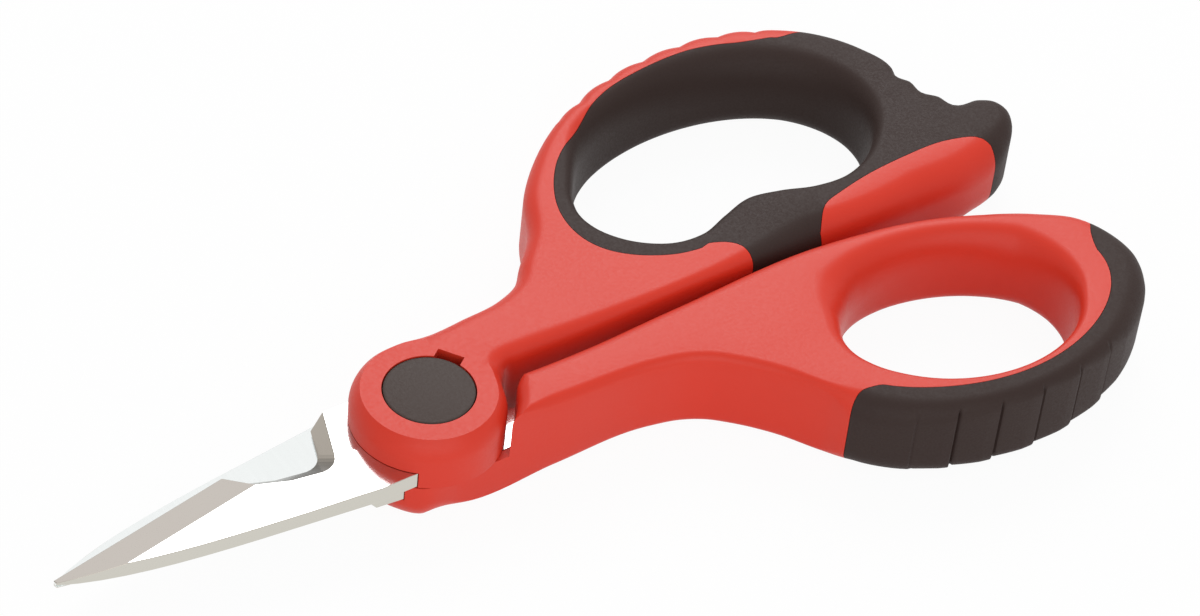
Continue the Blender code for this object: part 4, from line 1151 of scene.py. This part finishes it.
def small_outline():
    """Outer edge of the small handle, anticlockwise from the front of its boss."""
    root = thumb_loop_spot(-160)
    bend = Vector((SMALL_ARM, SMALL_FRONT - SMALL_SPREAD))
    stations = [
        (0, SMALL_FRONT, SMALL_EDGE),
        (SMALL_ARM / 2, SMALL_FRONT - SMALL_SPREAD / 3, SMALL_EDGE),
        (bend.x, bend.y, SMALL_EDGE),
    ]
    hollow = Vector((bend.y - root.y, root.x - bend.x)).normalized() * NECK_HOLLOW
    for share, depth in NECK_ARCH:
        spot = bend.lerp(root, share) + hollow * depth
        stations.append((spot.x, spot.y, SMALL_EDGE))
    for degrees in range(-160, 60, 17):
        spot = thumb_loop_spot(degrees)
        stations.append((spot.x, spot.y, SMALL_GRIP_EDGE if degrees < 20 else SMALL_REAR_EDGE))
    shoulder = thumb_loop_spot(44)
    arm = Vector((SMALL_HOLE.x - 0.58 * SMALL_HOLE_HALF.x, SMALL_FACE))
    bow = Vector((SMALL_HOLE.x + 0.42 * SMALL_HOLE_HALF.x, SMALL_FACE - SMALL_DRAFT))
    for t in (0.36, 0.7, 1.0):
        spot = (1 - t) ** 2 * shoulder + 2 * t * (1 - t) * bow + t**2 * arm
        stations.append((spot.x, spot.y, SMALL_REAR_EDGE))
    rear = SMALL_FACE - SMALL_DRAFT
    stations += [
        (SMALL_ARM * 1.3, SMALL_FACE - SMALL_DRAFT / 3, SMALL_REAR_EDGE),
        (BOSS + 2 * ARM_FILLET, rear, SMALL_REAR_EDGE),
        (BOSS + ARM_FILLET, rear, SMALL_REAR_EDGE),
    ]
    return smooth_loop(stations + boss_stations(*SMALL_BOSS_ARC), SMALL_SPAN)


def small_hole():
    stations = []
    for degrees in range(0, 360, 15):
        angle = math.radians(degrees)
        rest = THUMB_REST * bell(angle - THUMB_REST_ANGLE, THUMB_REST_SPREAD)
        spot = ellipse_spot(SMALL_HOLE, *SMALL_HOLE_HALF, SMALL_HOLE_TILT, angle)
        spot -= (spot - SMALL_HOLE).normalized() * rest
        far = SMALL_HOLE_FLARE * max(0, math.cos(angle - SMALL_FLARE_ANGLE))
        thumb = THUMB_FLARE * max(0, math.cos(angle - THUMB_FLARE_ANGLE)) ** 2
        edge = SMALL_HOLE_EDGE + far + thumb - THUMB_REST_EDGE * rest
        stations.append((spot.x, spot.y, edge))
    return smooth_loop(stations)


def small_grip_plan():
    """Plan of the black moulding on the small loop, anticlockwise."""
    far = 2 * REACH
    sweep = GRIP_FIRST - GRIP_LAST
    rim = [rim_spot(GRIP_LAST + sweep * k / GRIP_STEPS) for k in range(GRIP_STEPS + 1)]
    end, start = rim[0], rim[-1]
    low = SMALL_HOLE.y - THUMB_LOOP_HALF.y - far
    outer = SMALL_HOLE.x + THUMB_LOOP_HALF.x + far
    line = soft_line(
        [end + Vector((0.75 * far, far))]
        + [end + GRIP_CORNER * Vector(spot) for spot in ((0.6, 1.12), (0.21, 0.53))]
        + rim
        + [start + Vector(spot) for spot in GRIP_HEEL]
        + [start + Vector((-far, -0.5 * far))]
    )
    return line + [Vector((start.x, low)), Vector((outer, low)), Vector((outer, end.y + far))]


def boss_room():
    """Round room for the upper boss, wider at the rear corner of the small arm and at its top."""
    courses = [(0, MATING - HALF_GAP)]
    for k in range(9):
        turn = math.radians(90 * k / 8)
        height = BOSS_HEIGHT - ROOM_FLARE * (1 - math.sin(turn))
        courses.append((ROOM_FLARE * (1 - math.cos(turn)), height))
    courses.append((ROOM_FLARE, BOSS_HEIGHT + REACH))
    bm = bmesh.new()
    rings = []
    for flare, height in courses:
        ring = []
        for degrees in range(0, 360, 2):
            angle = math.radians(degrees)
            ease = CORNER_EASE * bell(math.remainder(angle, 2 * math.pi), CORNER_SPREAD)
            reach = BOSS + BOSS_CLEARANCE + ease + flare
            ring.append(bm.verts.new((reach * math.cos(angle), reach * math.sin(angle), height)))
        rings.append(ring)
    bm.faces.new(rings[0])
    bm.faces.new(rings[-1])
    skin(bm, rings)
    return new_piece("boss_room", bm)


body = moulded_body("small_body", small_outline(), small_hole())
carve_ribs(
    body,
    centre=(THUMB_LOOP.x * MM, THUMB_LOOP.y * MM, 0),
    half_length=THUMB_LOOP_HALF.x * MM,
    half_width=THUMB_LOOP_HALF.y * MM,
    tilt=THUMB_LOOP_TILT,
    first=RIB_FIRST,
    pitch=RIB_PITCH,
    count=RIBS,
    depth=RIB_DEPTH * MM,
    ramp=RIB_PITCH * 0.7,
    step=RIB_PITCH * 0.06,
    sharpness=1.0,
    line_depth=RIB_LINE * MM,
    line_width=RIB_LINE_WIDTH,
    first_share=RIB_FIRST_SHARE,
    fade_from=RIB_FADE[0] * MM,
    fade_to=RIB_FADE[1] * MM,
    finish=red_plastic,
)
small_core, small_grip = split_mouldings(
    "small_core",
    "small_soft_grip",
    body,
    small_grip_plan(),
    rib_plan(rim_spot, GRIP_FIRST + KEY_SHORT, GRIP_LAST - KEY_SHORT, -KEY_DEPTH, 2 * KEY_DEPTH),
)
cut(small_core, boss_room())
cut(small_core, tang_pocket(True))
cut(small_core, disc(HEAD_ROOM, -REACH, MATING - BLADE_GAP - BLADE_THICK))
dress(small_core, red_plastic, "small_half", "red_core", "small_loop_handle")
dress(small_grip, black_rubber, "small_half", "soft_grip", "small_loop_grip")


# A flush black plastic cap snaps into the boss over the nut. It is slightly domed, with an eased
# rim and a skirt that grips the seat, and it is prised out at the slot beside it.
CAP_RADIUS = 6.2
CAP_THICK = 0.9
CAP_SKIRT = 1.3
CAP_WALL = 0.7
CAP_DOME = 0.12
DOME_REACH = 0.92 * CAP_RADIUS
DOME_STEPS = 8
CAP_EASE = 0.1
CAP_TURNS = 96
CAP_MERGE = 0.001
CAP_BLACK = (0.036, 0.0195, 0.014, 1)
CAP_PALE = (0.042, 0.0225, 0.0165, 1)

profile = []
for k in range(DOME_STEPS + 1):
    share = k / DOME_STEPS
    profile.append((DOME_REACH * share, BOSS_HEIGHT - CAP_DOME * share**2))
for k in range(1, 7):
    turn = math.radians(90 - 15 * k)
    rim = CAP_RADIUS - CAP_EASE
    height = BOSS_HEIGHT - CAP_DOME - CAP_EASE + CAP_EASE * math.sin(turn)
    profile.append((rim + CAP_EASE * math.cos(turn), height))
low = BOSS_HEIGHT - CAP_THICK - CAP_SKIRT
profile += [(CAP_RADIUS, low), (CAP_RADIUS - CAP_WALL, low)]
profile += [(CAP_RADIUS - CAP_WALL, BOSS_HEIGHT - CAP_THICK), (0, BOSS_HEIGHT - CAP_THICK)]
bm = bmesh.new()
chain = [bm.verts.new((radius, 0, height)) for radius, height in profile]
edges = [bm.edges.new(pair) for pair in zip(chain, chain[1:])]
bmesh.ops.spin(
    bm,
    geom=chain + edges,
    cent=(0, 0, 0),
    axis=(0, 0, 1),
    angle=2 * math.pi,
    steps=CAP_TURNS,
    use_merge=True,
)
bmesh.ops.remove_doubles(bm, verts=bm.verts, dist=CAP_MERGE)
pivot_cap = new_piece("flush_cap", bm)

cap_plastic = moulded_finish(
    "cap_plastic",
    CAP_BLACK,
    (CAP_BLACK, CAP_PALE),
    shine=0.14,
    cloud_scale=120.0,
    pore_scale=3000.0,
    roughness=(0.32, 0.42),
    relief=0.000005,
)
dress(pivot_cap, cap_plastic, "large_half", "cap_plastic", "pivot_cap")
